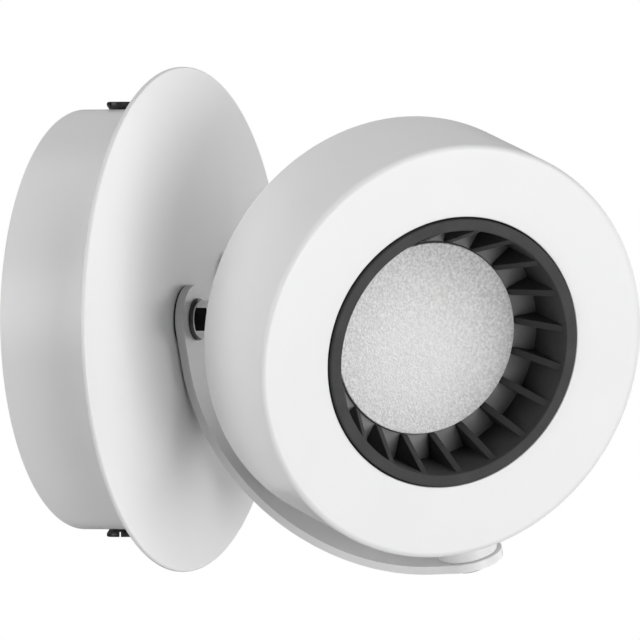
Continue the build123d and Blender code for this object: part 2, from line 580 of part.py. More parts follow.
def make_heat_sink():
    """Dark casting: outer ring, radial fins that slope down to the light, cup for the light source."""
    floor_back = FIN_FLOOR_DEPTH + SINK_FLOOR
    seat = DIFFUSER_RADIUS + SLIP
    casting = turned([
        (LIGHT_BORE, behind(SINK_DEPTH)),
        (LIGHT_BORE, behind(DIFFUSER_BACK)),
        (seat, behind(DIFFUSER_BACK)),
        (seat, behind(FIN_FLOOR_DEPTH)),
        (TROUGH_RADIUS, behind(FIN_FLOOR_DEPTH)),
        (TROUGH_RADIUS, behind(RIM_ROUND - RIM_PROUD)),
        (TROUGH_RADIUS + RIM_ROUND, behind(-RIM_PROUD)),
        (RING_RADIUS - RIM_ROUND, behind(-RIM_PROUD)),
        (RING_RADIUS, behind(RIM_ROUND - RIM_PROUD)),
        (RING_RADIUS, behind(floor_back)),
        (CUP_RADIUS, behind(floor_back)),
        (CUP_RADIUS, behind(SINK_DEPTH + SINK_FLOOR)),
        (0, behind(SINK_DEPTH + SINK_FLOOR)),
        (0, behind(SINK_DEPTH)),
    ])
    fin_inner = seat + FIN_TO_DIFFUSER
    fin_outer = TROUGH_RADIUS + RIM_WIDTH / 2
    fin_root = FIN_FLOOR_DEPTH + SINK_FLOOR / 2
    fin_outline = make_face(Polyline(
        (fin_outer, 0, behind(FIN_START)),
        (TROUGH_RADIUS, 0, behind(FIN_START)),
        (fin_inner, 0, behind(DIFFUSER_DEPTH)),
        (fin_inner, 0, behind(fin_root)),
        (fin_outer, 0, behind(fin_root)),
        close=True,
    ))
    fin = extrude(fin_outline, FIN_THICKNESS / 2, both=True)
    fins = [Rot(0, 0, FIN_PHASE - 90 + 360 * step / FIN_COUNT) * fin for step in range(FIN_COUNT)]
    flange_end = SINK_FLANGE_AT + SINK_FLANGE_THICKNESS
    flange = sunk(RING_RADIUS + SINK_FLANGE_WIDTH, SINK_FLANGE_AT, flange_end)
    ear_half = SINK_EAR_DIAMETER / 2
    ear_heights = (behind(flange_end), behind(SINK_FLANGE_AT))
    ear_bridge = block((0, SINK_SCREW_CIRCLE_RADIUS), (-ear_half, ear_half), ear_heights)
    for step, place in enumerate(SINK_SCREWS):
        flange += sunk(ear_half, SINK_FLANGE_AT, flange_end, place)
        flange += Rot(0, 0, SINK_SCREW_FIRST_ANGLE + 360 * step / SINK_SCREW_COUNT) * ear_bridge
    flange -= sunk(RING_RADIUS - RIM_WIDTH / 2, SINK_FLANGE_AT, flange_end)
    for place in SINK_SCREWS:
        flange -= sunk(SINK_SCREW_DIAMETER / 2 + FIT, SINK_FLANGE_AT, flange_end, place)
    sink = casting.fuse(flange, *fins)
    for place in BOARD_SCREWS:
        sink -= sunk(BOARD_SCREW_DIAMETER / 2 + FIT, SINK_DEPTH, SINK_DEPTH + SINK_FLOOR, place)
    add("heat_sink", sink, HEAD)

    screws = []
    for place in SINK_SCREWS:
        screw = sunk(SINK_SCREW_DIAMETER / 2, sink_screw_end(), flange_end, place)
        screw += sunk(SINK_SCREW_HEAD / 2, flange_end, flange_end + SINK_SCREW_HEAD_HEIGHT, place)
        screws.append(screw)
    add("heat_sink_screws", group(screws), HEAD)


def make_light_source():
    """Frosted diffuser, reflector ring and LED board on its thermal pad."""
    add("diffuser", sunk(DIFFUSER_RADIUS, DIFFUSER_DEPTH, DIFFUSER_BACK), HEAD)
    wide = LIGHT_BORE - SLIP
    narrow = wide - REFLECTOR_LEAN
    reflector = turned([
        (wide - REFLECTOR_WALL, behind(DIFFUSER_BACK)),
        (wide, behind(DIFFUSER_BACK)),
        (narrow, behind(BOARD_FRONT)),
        (narrow - REFLECTOR_WALL, behind(BOARD_FRONT)),
    ])
    add("reflector", reflector, HEAD)

    board = sunk(BOARD_RADIUS, BOARD_FRONT, BOARD_BACK)
    pad = sunk(BOARD_RADIUS - PAD_MARGIN, BOARD_BACK, SINK_DEPTH)
    screws = []
    for place in BOARD_SCREWS:
        board -= sunk(BOARD_SCREW_DIAMETER / 2 + FIT, BOARD_FRONT, BOARD_BACK, place)
        pad -= sunk(BOARD_SCREW_DIAMETER / 2 + WASHER_PLAY, BOARD_BACK, SINK_DEPTH, place)
        screw = sunk(BOARD_SCREW_DIAMETER / 2, BOARD_FRONT, BOARD_FRONT + BOARD_SCREW_REACH, place)
        screw += sunk(BOARD_SCREW_HEAD / 2, BOARD_FRONT - BOARD_SCREW_HEAD_HEIGHT, BOARD_FRONT, place)
        screws.append(screw)
    add("led_board", board, HEAD)
    add("thermal_pad", pad, HEAD)
    add("board_screws", group(screws), HEAD)

    chip_middle = behind(BOARD_FRONT - CHIP_HEIGHT / 2)
    places = [(0, 0)] + ring_places(CHIP_RING_RADIUS, CHIP_RING_COUNT, 0)
    chips = [Pos(x, y, chip_middle) * Box(CHIP_SIZE, CHIP_SIZE, CHIP_HEIGHT) for x, y in places]
    add("led_chips", group(chips), HEAD)


def make_second_pivot():
    """Boss, screw, washer and curved nut between the head and the arm's tip."""
    hole = PIVOT_RADIUS + FIT
    boss_end = HEAD_RADIUS + BOSS_HEIGHT
    arm_outside = boss_end + RUN_GAP + ARM_THICKNESS
    washer_top = arm_outside + RUN_GAP
    head_top = washer_top + TIP_WASHER_THICKNESS
    boss = downward() * rod(BOSS_DIAMETER / 2, HEAD_BORE, boss_end)
    boss -= rod(HEAD_RADIUS + FIT, -HEAD_DEPTH, HEAD_DEPTH)
    boss -= downward() * rod(hole, HEAD_BORE, boss_end)
    add("head_boss", boss, HEAD)

    plate = block(
        (-NUT_PLATE_WIDTH / 2, NUT_PLATE_WIDTH / 2),
        (-HEAD_BORE, NUT_PLATE_HEIGHT - HEAD_BORE),
        (-NUT_PLATE_LENGTH / 2, NUT_PLATE_LENGTH / 2),
    )
    plate &= rod(HEAD_BORE - FIT, -NUT_PLATE_LENGTH / 2, NUT_PLATE_LENGTH / 2)
    plate -= downward() * rod(hole, HEAD_BORE - NUT_PLATE_HEIGHT, HEAD_BORE)
    add("pivot_nut_plate", plate, HEAD)

    screw = rod(PIVOT_RADIUS, HEAD_BORE - NUT_PLATE_HEIGHT, head_top)
    screw += rod(TIP_HEAD_DIAMETER / 2, head_top, head_top + TIP_HEAD_HEIGHT)
    socket = Pos(0, 0, head_top + TIP_HEAD_HEIGHT) * RegularPolygon(TIP_HEX / 2 / cos(pi / 6), 6)
    screw -= extrude(socket, -TIP_HEX_DEPTH)
    add("head_pivot_screw", downward() * screw, HEAD)
    washer = tube(TIP_WASHER_DIAMETER / 2, PIVOT_RADIUS + WASHER_PLAY, washer_top, head_top)
    add("tip_washer", downward() * washer, HEAD)


make_drum()
make_disc()
make_bracket()
make_side_screws()
make_first_pivot()
make_terminals()
make_earth()
make_driver()
make_arm()
make_head_shell()
make_rear_cover()
make_heat_sink()
make_light_source()
make_second_pivot()

os.makedirs("parts", exist_ok=True)
for name, shape in PARTS.items():
    export_step(shape, os.path.join("parts", name + ".step"))
print(len(PARTS), "pieces")
print("head pivot, out from the wall and below the first pivot:", round(HEAD_OUT, 3), round(HEAD_DROP, 3))
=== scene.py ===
"""Looks of a wall spotlight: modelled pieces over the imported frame, finishes, light and camera.

Sizes are in millimetres. The canopy frame has x right, y up and z out from the wall; the head frame
has its origin on the second pivot, z through the light and y away from the arm's tip.
"""

import json
import logging
from collections.abc import Callable, Iterable, Sequence
from dataclasses import dataclass, replace
from enum import Enum
from math import cos, hypot, pi, radians, sin

import bmesh
import bpy
from mathutils import Matrix, Vector

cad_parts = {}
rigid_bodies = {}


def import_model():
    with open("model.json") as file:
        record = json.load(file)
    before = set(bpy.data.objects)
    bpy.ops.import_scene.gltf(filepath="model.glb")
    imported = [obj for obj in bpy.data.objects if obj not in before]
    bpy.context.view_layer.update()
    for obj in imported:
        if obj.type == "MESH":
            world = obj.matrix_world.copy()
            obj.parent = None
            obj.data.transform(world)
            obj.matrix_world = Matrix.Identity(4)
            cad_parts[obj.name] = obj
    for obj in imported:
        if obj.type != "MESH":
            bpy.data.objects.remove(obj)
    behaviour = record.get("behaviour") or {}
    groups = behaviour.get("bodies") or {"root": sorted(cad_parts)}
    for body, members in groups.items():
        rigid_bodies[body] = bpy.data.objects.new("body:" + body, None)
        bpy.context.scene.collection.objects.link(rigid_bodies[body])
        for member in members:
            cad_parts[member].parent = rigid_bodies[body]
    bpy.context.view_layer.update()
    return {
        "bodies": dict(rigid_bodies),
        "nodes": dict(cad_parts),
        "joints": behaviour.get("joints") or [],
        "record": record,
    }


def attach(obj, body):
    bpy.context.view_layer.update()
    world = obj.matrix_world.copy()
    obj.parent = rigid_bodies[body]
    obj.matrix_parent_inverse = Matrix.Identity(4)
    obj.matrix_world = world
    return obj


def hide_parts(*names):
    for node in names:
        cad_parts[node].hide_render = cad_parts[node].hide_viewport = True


LOG = logging.getLogger("spotlight")
MM = 0.001

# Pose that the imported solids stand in, in degrees
ARM_TURN = 22.9
ARM_BEND = 92.6
HEAD_PAN = 42.2

# Clearances
FIT = 0.05
SLIP = 0.1
WASHER_PLAY = 0.15
RUN_GAP = 0.05

# How finely round shapes are divided
BIG_ROUND = 192
SMALL_ROUND = 64
ROUND_STEPS = 5
NEAR = 0.002

Range = tuple[float, float]
Place = tuple[float, float]
Colour = tuple[float, float, float]


class Ends(Enum):
    """How the two ends of a turned outline are closed."""

    LOOPED = "last ring joined to the first"
    CAPPED = "each end filled"


class Change(Enum):
    """How a second shape changes a piece."""

    CUT = "DIFFERENCE"
    ADD = "UNION"
    KEEP = "INTERSECT"


class Pattern(Enum):
    """Surface pattern of a finish."""

    GRAIN = "fine_grain"
    BRUSHED = "brushed_lines"
    FROST = "frost_sparkle"


@dataclass(frozen=True)
class Turn:
    """One ring of a turned outline.

    Attributes:
        radius: distance from the axis.
        height: place along the axis.
        rounding: radius of the rounding on this ring's edge, 0 for a sharp edge.
    """

    radius: float
    height: float
    rounding: float = 0.0


def deselect() -> None:
    """Clear the selection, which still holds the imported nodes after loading."""
    bpy.ops.object.select_all(action="DESELECT")


def select_only(piece: bpy.types.Object) -> None:
    """Make one object the only selected and active one."""
    deselect()
    piece.select_set(True)
    bpy.context.view_layer.objects.active = piece


def start_edit(piece: bpy.types.Object) -> None:
    """Open a piece in edit mode with all of it selected."""
    select_only(piece)
    bpy.ops.object.mode_set(mode="EDIT")
    bpy.ops.mesh.select_all(action="SELECT")


def end_edit() -> None:
    """Go back to object mode."""
    bpy.ops.object.mode_set(mode="OBJECT")


def pick_edges(piece: bpy.types.Object, wanted: Callable[[Vector], bool]) -> None:
    """Select the edges whose two ends both pass a test.

    Args:
        piece: the object that is open in edit mode.
        wanted: test of a vertex's place in metres.
    """
    bpy.ops.mesh.select_mode(type="EDGE")
    bpy.ops.mesh.select_all(action="DESELECT")
    shape = bmesh.from_edit_mesh(piece.data)
    for edge in shape.edges:
        if all(wanted(vertex.co) for vertex in edge.verts):
            edge.select_set(True)
    bmesh.update_edit_mesh(piece.data)


def pick_vertices(piece: bpy.types.Object, wanted: Callable[[Vector], bool]) -> None:
    """Select the vertices that pass a test.

    Args:
        piece: the object that is open in edit mode.
        wanted: test of a vertex's place in metres.
    """
    bpy.ops.mesh.select_mode(type="VERT")
    bpy.ops.mesh.select_all(action="DESELECT")
    shape = bmesh.from_edit_mesh(piece.data)
    for vertex in shape.verts:
        vertex.select_set(wanted(vertex.co))
    bmesh.update_edit_mesh(piece.data)


def pick_faces(piece: bpy.types.Object, wanted: Callable[[Vector], bool]) -> None:
    """Select the faces that look the wanted way.

    Args:
        piece: the object that is open in edit mode.
        wanted: test of a face's normal.
    """
    bpy.ops.mesh.select_mode(type="FACE")
    bpy.ops.mesh.select_all(action="DESELECT")
    shape = bmesh.from_edit_mesh(piece.data)
    for face in shape.faces:
        face.select_set(wanted(face.normal))
    bmesh.update_edit_mesh(piece.data)
    bpy.ops.mesh.select_mode(type="VERT")


def settle(piece: bpy.types.Object) -> None:
    """Put an object's own place, turn and scale into its mesh."""
    select_only(piece)
    bpy.ops.object.transform_apply(location=True, rotation=True, scale=True)


def place(piece: bpy.types.Object, frame: Matrix) -> bpy.types.Object:
    """Move a piece from its own frame to another one.

    Args:
        piece: object with its place in its mesh.
        frame: where its frame stands, in metres.

    Returns:
        The same piece, settled.
    """
    piece.matrix_world = frame
    settle(piece)
    return piece


def round_ring(piece: bpy.types.Object, turn: Turn) -> None:
    """Round the edge of one ring of a turned piece that is open in edit mode."""

    def on_ring(point: Vector) -> bool:
        """Tell whether a point lies on this ring."""
        radius = hypot(point.x, point.y) / MM
        return abs(radius - turn.radius) < NEAR and abs(point.z / MM - turn.height) < NEAR

    pick_edges(piece, on_ring)
    bpy.ops.mesh.bevel(
        offset=turn.rounding * MM,
        segments=ROUND_STEPS,
        profile=0.5,
        affect="EDGES",
        clamp_overlap=False,
    )


def turned(name: str, outline: Sequence[Turn], ends: Ends, segments: int = BIG_ROUND) -> bpy.types.Object:
    """Model a round piece about z by extruding a circle from ring to ring.

    Args:
        name: the piece's name.
        outline: the rings in order.
        ends: how the first and last ring are closed.
        segments: number of sides.

    Returns:
        The closed piece with its edges rounded.
    """
    deselect()
    first = outline[0]
    bpy.ops.mesh.primitive_circle_add(
        vertices=segments, radius=first.radius * MM, location=(0, 0, first.height * MM)
    )
    piece = bpy.context.object
    piece.name = name
    settle(piece)
    start_edit(piece)
    for last, turn in zip(outline, outline[1:]):
        rise = (turn.height - last.height) * MM
        growth = turn.radius / last.radius
        bpy.ops.mesh.extrude_edges_move(TRANSFORM_OT_translate={"value": (0, 0, rise)})
        bpy.ops.transform.resize(
            value=(growth, growth, 1), center_override=(0, 0, turn.height * MM)
        )
    bpy.ops.mesh.select_all(action="DESELECT")
    bpy.ops.mesh.select_non_manifold()
    if ends is Ends.LOOPED:
        bpy.ops.mesh.bridge_edge_loops()
    else:
        bpy.ops.mesh.fill_holes(sides=0)
    bpy.ops.mesh.select_all(action="SELECT")
    bpy.ops.mesh.normals_make_consistent(inside=False)
    for turn in outline:
        if turn.rounding:
            round_ring(piece, turn)
    end_edit()
    return piece


def rod(radius: float, start: float, end: float, at: Place = (0, 0), sides: int = SMALL_ROUND) -> bpy.types.Object:
    """Add a plain cylinder along z, used to cut holes and as a start for other shapes.

    Args:
        radius: radius to the corners.
        start: lower end.
        end: upper end.
        at: place of the axis.
        sides: number of sides.

    Returns:
        The cylinder.
    """
    deselect()
    bpy.ops.mesh.primitive_cylinder_add(
        vertices=sides,
        radius=radius * MM,
        depth=(end - start) * MM,
        location=(at[0] * MM, at[1] * MM, (start + end) / 2 * MM),
    )
    piece = bpy.context.object
    settle(piece)
    return piece


def cone(radii: Range, heights: Range, at: Place = (0, 0)) -> bpy.types.Object:
    """Add a plain cone along z between two radii.

    Args:
        radii: radius at the lower and the upper end.
        heights: lower and upper end.
        at: place of the axis.

    Returns:
        The cone.
    """
    deselect()
    bpy.ops.mesh.primitive_cone_add(
        vertices=SMALL_ROUND,
        radius1=radii[0] * MM,
        radius2=radii[1] * MM,
        depth=(heights[1] - heights[0]) * MM,
        location=(at[0] * MM, at[1] * MM, sum(heights) / 2 * MM),
    )
    piece = bpy.context.object
    settle(piece)
    return piece


def block(x: Range, y: Range, z: Range) -> bpy.types.Object:
    """Add a box between two corners.

    Args:
        x: lowest and highest x.
        y: lowest and highest y.
        z: lowest and highest z.

    Returns:
        The box.
    """
    deselect()
    bpy.ops.mesh.primitive_cube_add(size=1, location=[sum(span) / 2 * MM for span in (x, y, z)])
    piece = bpy.context.object
    piece.scale = [(span[1] - span[0]) * MM for span in (x, y, z)]
    settle(piece)
    return piece


def change(piece: bpy.types.Object, other: bpy.types.Object, how: Change) -> None:
    """Cut a second shape from a piece, add it, or keep what both share, and remove the second shape.

    Args:
        piece: the piece to change.
        other: the shape that is used up.
        how: the kind of change.
    """
    select_only(piece)
    bpy.ops.object.modifier_add(type="BOOLEAN")
    step = piece.modifiers[-1]
    step.operation = how.value
    step.object = other
    step.solver = "EXACT"
    bpy.ops.object.modifier_apply(modifier=step.name)
    bpy.data.objects.remove(other, do_unlink=True)


def drill(piece: bpy.types.Object, radius: float, span: Range, places: Iterable[Place]) -> None:
    """Drill round holes along z.

    Args:
        piece: the piece to drill.
        radius: radius of the holes.
        span: heights that the drill passes.
        places: middles of the holes.
    """
    for at in places:
        change(piece, rod(radius, span[0], span[1], at), Change.CUT)


def soften(piece: bpy.types.Object, width: float, steps: int = 2, angle: float = 35.0) -> None:
    """Round every edge that is sharper than an angle.

    Args:
        piece: the piece to soften.
        width: width of the rounding.
        steps: number of faces across the rounding.
        angle: the angle in degrees.
    """
    select_only(piece)
    bpy.ops.object.modifier_add(type="BEVEL")
    step = piece.modifiers[-1]
    step.width = width * MM
    step.segments = steps
    step.limit_method = "ANGLE"
    step.angle_limit = radians(angle)
    step.miter_outer = "MITER_ARC"
    bpy.ops.object.modifier_apply(modifier=step.name)


def copy_of(piece: bpy.types.Object, frame: Matrix) -> bpy.types.Object:
    """Copy a piece, with a mesh of its own, into another frame."""
    select_only(piece)
    bpy.ops.object.duplicate(linked=False)
    return place(bpy.context.object, frame)


def joined(name: str, pieces: Sequence[bpy.types.Object]) -> bpy.types.Object:
    """Join several objects into one.

    Args:
        name: name of the result.
        pieces: the objects, of which the first takes the rest.

    Returns:
        The joined object.
    """
    select_only(pieces[0])
    for piece in pieces[1:]:
        piece.select_set(True)
    bpy.ops.object.join()
    pieces[0].name = name
    return pieces[0]


def group_of(name: str, pattern: bpy.types.Object, frames: Iterable[Matrix]) -> bpy.types.Object:
    """Copy a piece into several frames and join the copies.

    Args:
        name: name of the result.
        pattern: the piece to copy, which is removed.
        frames: where the copies stand.

    Returns:
        The joined copies.
    """
    copies = [copy_of(pattern, frame) for frame in frames]
    bpy.data.objects.remove(pattern, do_unlink=True)
    return joined(name, copies)


def ring_places(radius: float, count: int, first: float) -> list[Place]:
    """Give evenly spaced places on a circle, from a first angle in degrees."""
    angles = [radians(first + 360 * step / count) for step in range(count)]
    return [(radius * cos(angle), radius * sin(angle)) for angle in angles]


def shifted(x: float, y: float, z: float = 0.0) -> Matrix:
    """Give a frame that is moved by millimetres."""
    return Matrix.Translation((x * MM, y * MM, z * MM))


def spun(degrees: float, axis: str) -> Matrix:
    """Give a frame that is turned about one of its axes."""
    return Matrix.Rotation(radians(degrees), 4, axis)


def cross_slot(across: float, width: float, top: float, depth: float) -> bpy.types.Object:
    """Model the cutter of a cross recess, narrower at its bottom.

    Args:
        across: length of each arm of the cross.
        width: width of each arm.
        top: height of the screw head's face.
        depth: depth of the recess.

    Returns:
        The cutter.
    """
    arms = []
    for turn in (0, 90):
        arm = block((-across / 2, across / 2), (-width / 2, width / 2), (top - depth, top + depth))
        start_edit(arm)
        pick_vertices(arm, lambda point: point.z < top * MM)
        bpy.ops.transform.resize(value=(0.7, 0.8, 1), center_override=(0, 0, (top - depth) * MM))
        end_edit()
        arms.append(place(arm, spun(turn, "Z")))
    change(arms[0], arms[1], Change.ADD)
    return arms[0]


class NodeBench:
    """Adds and links the nodes of one node tree."""

    def __init__(self, tree: bpy.types.NodeTree) -> None:
        """Start with a tree that is empty or already has its ends."""
        self.tree = tree

    def add(self, kind: str, **settings: object) -> bpy.types.Node:
        """Add a node.

        Args:
            kind: the node's type name.
            settings: attributes of the node.

        Returns:
            The node.
        """
        node = self.tree.nodes.new(kind)
        for name, value in settings.items():
            setattr(node, name, value)
        return node

    def link(self, source: bpy.types.NodeSocket, target: bpy.types.NodeSocket) -> None:
        """Link an output to an input."""
        self.tree.links.new(source, target)

    def noise(self, vector: bpy.types.NodeSocket, scale: bpy.types.NodeSocket, detail: float) -> bpy.types.NodeSocket:
        """Add a noise whose scale comes from a socket.

        Args:
            vector: coordinates.
            scale: features per metre.
            detail: octaves of finer noise.

        Returns:
            The noise value.
        """
        node = self.add("ShaderNodeTexNoise")
        node.inputs["Detail"].default_value = detail
        self.link(vector, node.inputs["Vector"])
        self.link(scale, node.inputs["Scale"])
        return node.outputs["Fac"]

    def spread(
        self, value: bpy.types.NodeSocket, source: Range, target: Sequence[bpy.types.NodeSocket | float]
    ) -> bpy.types.NodeSocket:
        """Map a value from one range to another, without passing its ends.

        Args:
            value: the value.
            source: range that it comes in.
            target: low and high end, each a number or a socket.

        Returns:
            The mapped value.
        """
        node = self.add("ShaderNodeMapRange")
        node.inputs["From Min"].default_value = source[0]
        node.inputs["From Max"].default_value = source[1]
        for name, end in zip(("To Min", "To Max"), target):
            if isinstance(end, bpy.types.NodeSocket):
                self.link(end, node.inputs[name])
            else:
                node.inputs[name].default_value = end
        self.link(value, node.inputs["Value"])
        return node.outputs["Result"]


@dataclass(frozen=True)
class Socket:
    """A named socket of a shader node group."""

    name: str
    kind: str


VECTOR = Socket("Vector", "NodeSocketVector")
SCALE = Socket("Scale", "NodeSocketFloat")
LOW = Socket("Low", "NodeSocketFloat")
HIGH = Socket("High", "NodeSocketFloat")
LIGHT = Socket("Light", "NodeSocketColor")
DARK = Socket("Dark", "NodeSocketColor")
HEIGHT = Socket("Height", "NodeSocketFloat")
ROUGHNESS = Socket("Roughness", "NodeSocketFloat")
COLOUR = Socket("Colour", "NodeSocketColor")


class Effects:
    """The shader node groups that the finishes share, each built once."""

    @staticmethod
    def start(
        name: str, inputs: Sequence[Socket], outputs: Sequence[Socket]
    ) -> tuple[NodeBench, bpy.types.Node, bpy.types.Node]:
        """Make an empty group with its sockets.

        Args:
            name: the group's name.
            inputs: its inputs.
            outputs: its outputs.

        Returns:
            The group's bench, its input node and its output node.
        """
        tree = bpy.data.node_groups.new(name, "ShaderNodeTree")
        for socket in inputs:
            tree.interface.new_socket(socket.name, in_out="INPUT", socket_type=socket.kind)
        for socket in outputs:
            tree.interface.new_socket(socket.name, in_out="OUTPUT", socket_type=socket.kind)
        bench = NodeBench(tree)
        return bench, bench.add("NodeGroupInput"), bench.add("NodeGroupOutput")

    @classmethod
    def colour_drift(cls) -> bpy.types.NodeTree:
        """Slow change between two close colours."""
        bench, start, end = cls.start("colour_drift", (VECTOR, SCALE, LIGHT, DARK), (COLOUR,))
        value = bench.noise(start.outputs["Vector"], start.outputs["Scale"], 2.0)
        share = bench.spread(value, (0.35, 0.65), (0.0, 1.0))
        mix = bench.add("ShaderNodeMix", data_type="RGBA")
        bench.link(share, mix.inputs["Factor"])
        bench.link(start.outputs["Light"], mix.inputs["A"])
        bench.link(start.outputs["Dark"], mix.inputs["B"])
        bench.link(mix.outputs["Result"], end.inputs["Colour"])
        return bench.tree

    @classmethod
    def fine_grain(cls) -> bpy.types.NodeTree:
        """Even grain of a sprayed, moulded or cast surface."""
        bench, start, end = cls.start("fine_grain", (VECTOR, SCALE, LOW, HIGH), (HEIGHT, ROUGHNESS))
        value = bench.noise(start.outputs["Vector"], start.outputs["Scale"], 1.0)
        bench.link(value, end.inputs["Height"])
        rough = bench.spread(value, (0.3, 0.7), (start.outputs["Low"], start.outputs["High"]))
        bench.link(rough, end.inputs["Roughness"])
        return bench.tree

    @classmethod
    def brushed_lines(cls) -> bpy.types.NodeTree:
        """Fine lines that run along x, as on rolled or brushed steel."""
        bench, start, end = cls.start("brushed_lines", (VECTOR, SCALE, LOW, HIGH), (HEIGHT, ROUGHNESS))
        stretch = bench.add("ShaderNodeMapping")
        stretch.inputs["Scale"].default_value = (0.06, 1.0, 1.0)
        bench.link(start.outputs["Vector"], stretch.inputs["Vector"])
        value = bench.noise(stretch.outputs["Vector"], start.outputs["Scale"], 4.0)
        bench.link(value, end.inputs["Height"])
        rough = bench.spread(value, (0.3, 0.7), (start.outputs["Low"], start.outputs["High"]))
        bench.link(rough, end.inputs["Roughness"])
        return bench.tree

    @classmethod
    def frost_sparkle(cls) -> bpy.types.NodeTree:
        """Tiny facets of a frosted sheet, each tilted its own way."""
        bench, start, end = cls.start("frost_sparkle", (VECTOR, SCALE, LOW, HIGH), (HEIGHT, ROUGHNESS))
        cells = bench.add("ShaderNodeTexVoronoi", feature="F1")
        cells.inputs["Randomness"].default_value = 1.0
        bench.link(start.outputs["Vector"], cells.inputs["Vector"])
        bench.link(start.outputs["Scale"], cells.inputs["Scale"])
        bench.link(cells.outputs["Distance"], end.inputs["Height"])
        split = bench.add("ShaderNodeSeparateColor")
        bench.link(cells.outputs["Color"], split.inputs["Color"])
        rough = bench.spread(split.outputs["Red"], (0.0, 1.0), (start.outputs["Low"], start.outputs["High"]))
        bench.link(rough, end.inputs["Roughness"])
        return bench.tree

    @classmethod
    def named(cls, name: str) -> bpy.types.NodeTree:
        """Give a group by its name, built at its first use."""
        return bpy.data.node_groups.get(name) or getattr(cls, name)()


# Painted shade on the diffuser: the colour starts to darken at the first distance, in mm, from an off-centre point
# and is darkest at the second; the two shares are what is left of the main and the drift colour there.
PAINTED_SHADE_START = 8.0
PAINTED_SHADE_END = 27.0
PAINTED_SHADE_LIGHT = 0.91
PAINTED_SHADE_DARK = 0.70


@dataclass(frozen=True)
class Finish:
    """One finish of the lamp, as a procedural material.

    Attributes:
        name: the material's name.
        colour: main colour, linear.
        drift: colour that the main one drifts to.
        roughness: low and high roughness over the grain.
        grain: size of the grain.
        relief: height of the grain.
        metallic: 1 for bare metal.
        coat: weight of a clear top layer.
        drift_size: size of the patches of the two colours.
        pattern: the grain's pattern.
        specular: strength of the surface's shine.
        painted_shade_centre: point, in metres, that painted shade darkens the colour away from.
    """

    name: str
    colour: Colour
    drift: Colour
    roughness: Range
    grain: float
    relief: float
    metallic: float = 0.0
    coat: float = 0.0
    drift_size: float = 30.0
    pattern: Pattern = Pattern.GRAIN
    specular: float = 0.5
    painted_shade_centre: Vector | None = None

    def material(self) -> bpy.types.Material:
        """Give the finish's material, made at its first use."""
        return bpy.data.materials.get(self.name) or self.make()

    def paint_recess_shade(self, bench: NodeBench, where: bpy.types.NodeSocket, drift: bpy.types.Node) -> None:
        """Paint shade on the two colours, darker away from the hub and the drift's one more, for the recess's shade
        on the diffuser.

        Args:
            bench: the material's nodes.
            where: coordinates.
            drift: the node that mixes the two colours.
        """
        away = bench.add("ShaderNodeVectorMath", operation="DISTANCE")
        away.inputs[1].default_value = self.painted_shade_centre
        bench.link(where, away.inputs[0])
        for name, colour, share in (("Light", self.colour, PAINTED_SHADE_LIGHT), ("Dark", self.drift, PAINTED_SHADE_DARK)):
            fade = bench.spread(away.outputs["Value"], (PAINTED_SHADE_START * MM, PAINTED_SHADE_END * MM), (1.0, share))
            scaled = bench.add("ShaderNodeVectorMath", operation="SCALE")
            scaled.inputs[0].default_value = colour
            bench.link(fade, scaled.inputs["Scale"])
            bench.link(scaled.outputs["Vector"], drift.inputs[name])

    def make(self) -> bpy.types.Material:
        """Make the material.

        Returns:
            A Principled material whose colour, roughness and normal come from the shared effects.
        """
        material = bpy.data.materials.new(self.name)
        material.use_nodes = True
        material.node_tree.nodes.clear()
        bench = NodeBench(material.node_tree)
        where = bench.add("ShaderNodeTexCoord").outputs["Object"]
        shader = bench.add("ShaderNodeBsdfPrincipled")
        shader.inputs["Metallic"].default_value = self.metallic
        shader.inputs["Coat Weight"].default_value = self.coat
        shader.inputs["Specular IOR Level"].default_value = self.specular

        drift = bench.add("ShaderNodeGroup", node_tree=Effects.named("colour_drift"))
        drift.inputs["Scale"].default_value = 1 / (self.drift_size * MM)
        drift.inputs["Light"].default_value = (*self.colour, 1)
        drift.inputs["Dark"].default_value = (*self.drift, 1)
        bench.link(where, drift.inputs["Vector"])
        bench.link(drift.outputs["Colour"], shader.inputs["Base Color"])
        # Painted shade, darker away from a given point.
        if self.painted_shade_centre is not None:
            self.paint_recess_shade(bench, where, drift)

        grain = bench.add("ShaderNodeGroup", node_tree=Effects.named(self.pattern.value))
        grain.inputs["Scale"].default_value = 1 / (self.grain * MM)
        grain.inputs["Low"].default_value = self.roughness[0]
        grain.inputs["High"].default_value = self.roughness[1]
        bench.link(where, grain.inputs["Vector"])
        bench.link(grain.outputs["Roughness"], shader.inputs["Roughness"])
        bump = bench.add("ShaderNodeBump")
        bump.inputs["Distance"].default_value = self.relief * MM
        bench.link(grain.outputs["Height"], bump.inputs["Height"])
        bench.link(bump.outputs["Normal"], shader.inputs["Normal"])

        end = bench.add("ShaderNodeOutputMaterial")
        bench.link(shader.outputs["BSDF"], end.inputs["Surface"])
        return material


WHITE_PAINT = Finish(
    "white_satin_paint", (0.80, 0.80, 0.80), (0.785, 0.785, 0.787), (0.29, 0.35), 2.0, 0.002
)
CHARCOAL = Finish(
    "charcoal_casting_coat", (0.056, 0.056, 0.057), (0.048, 0.048, 0.049), (0.60, 0.75), 0.35, 0.012,
    drift_size=6.0, specular=0.22,
)
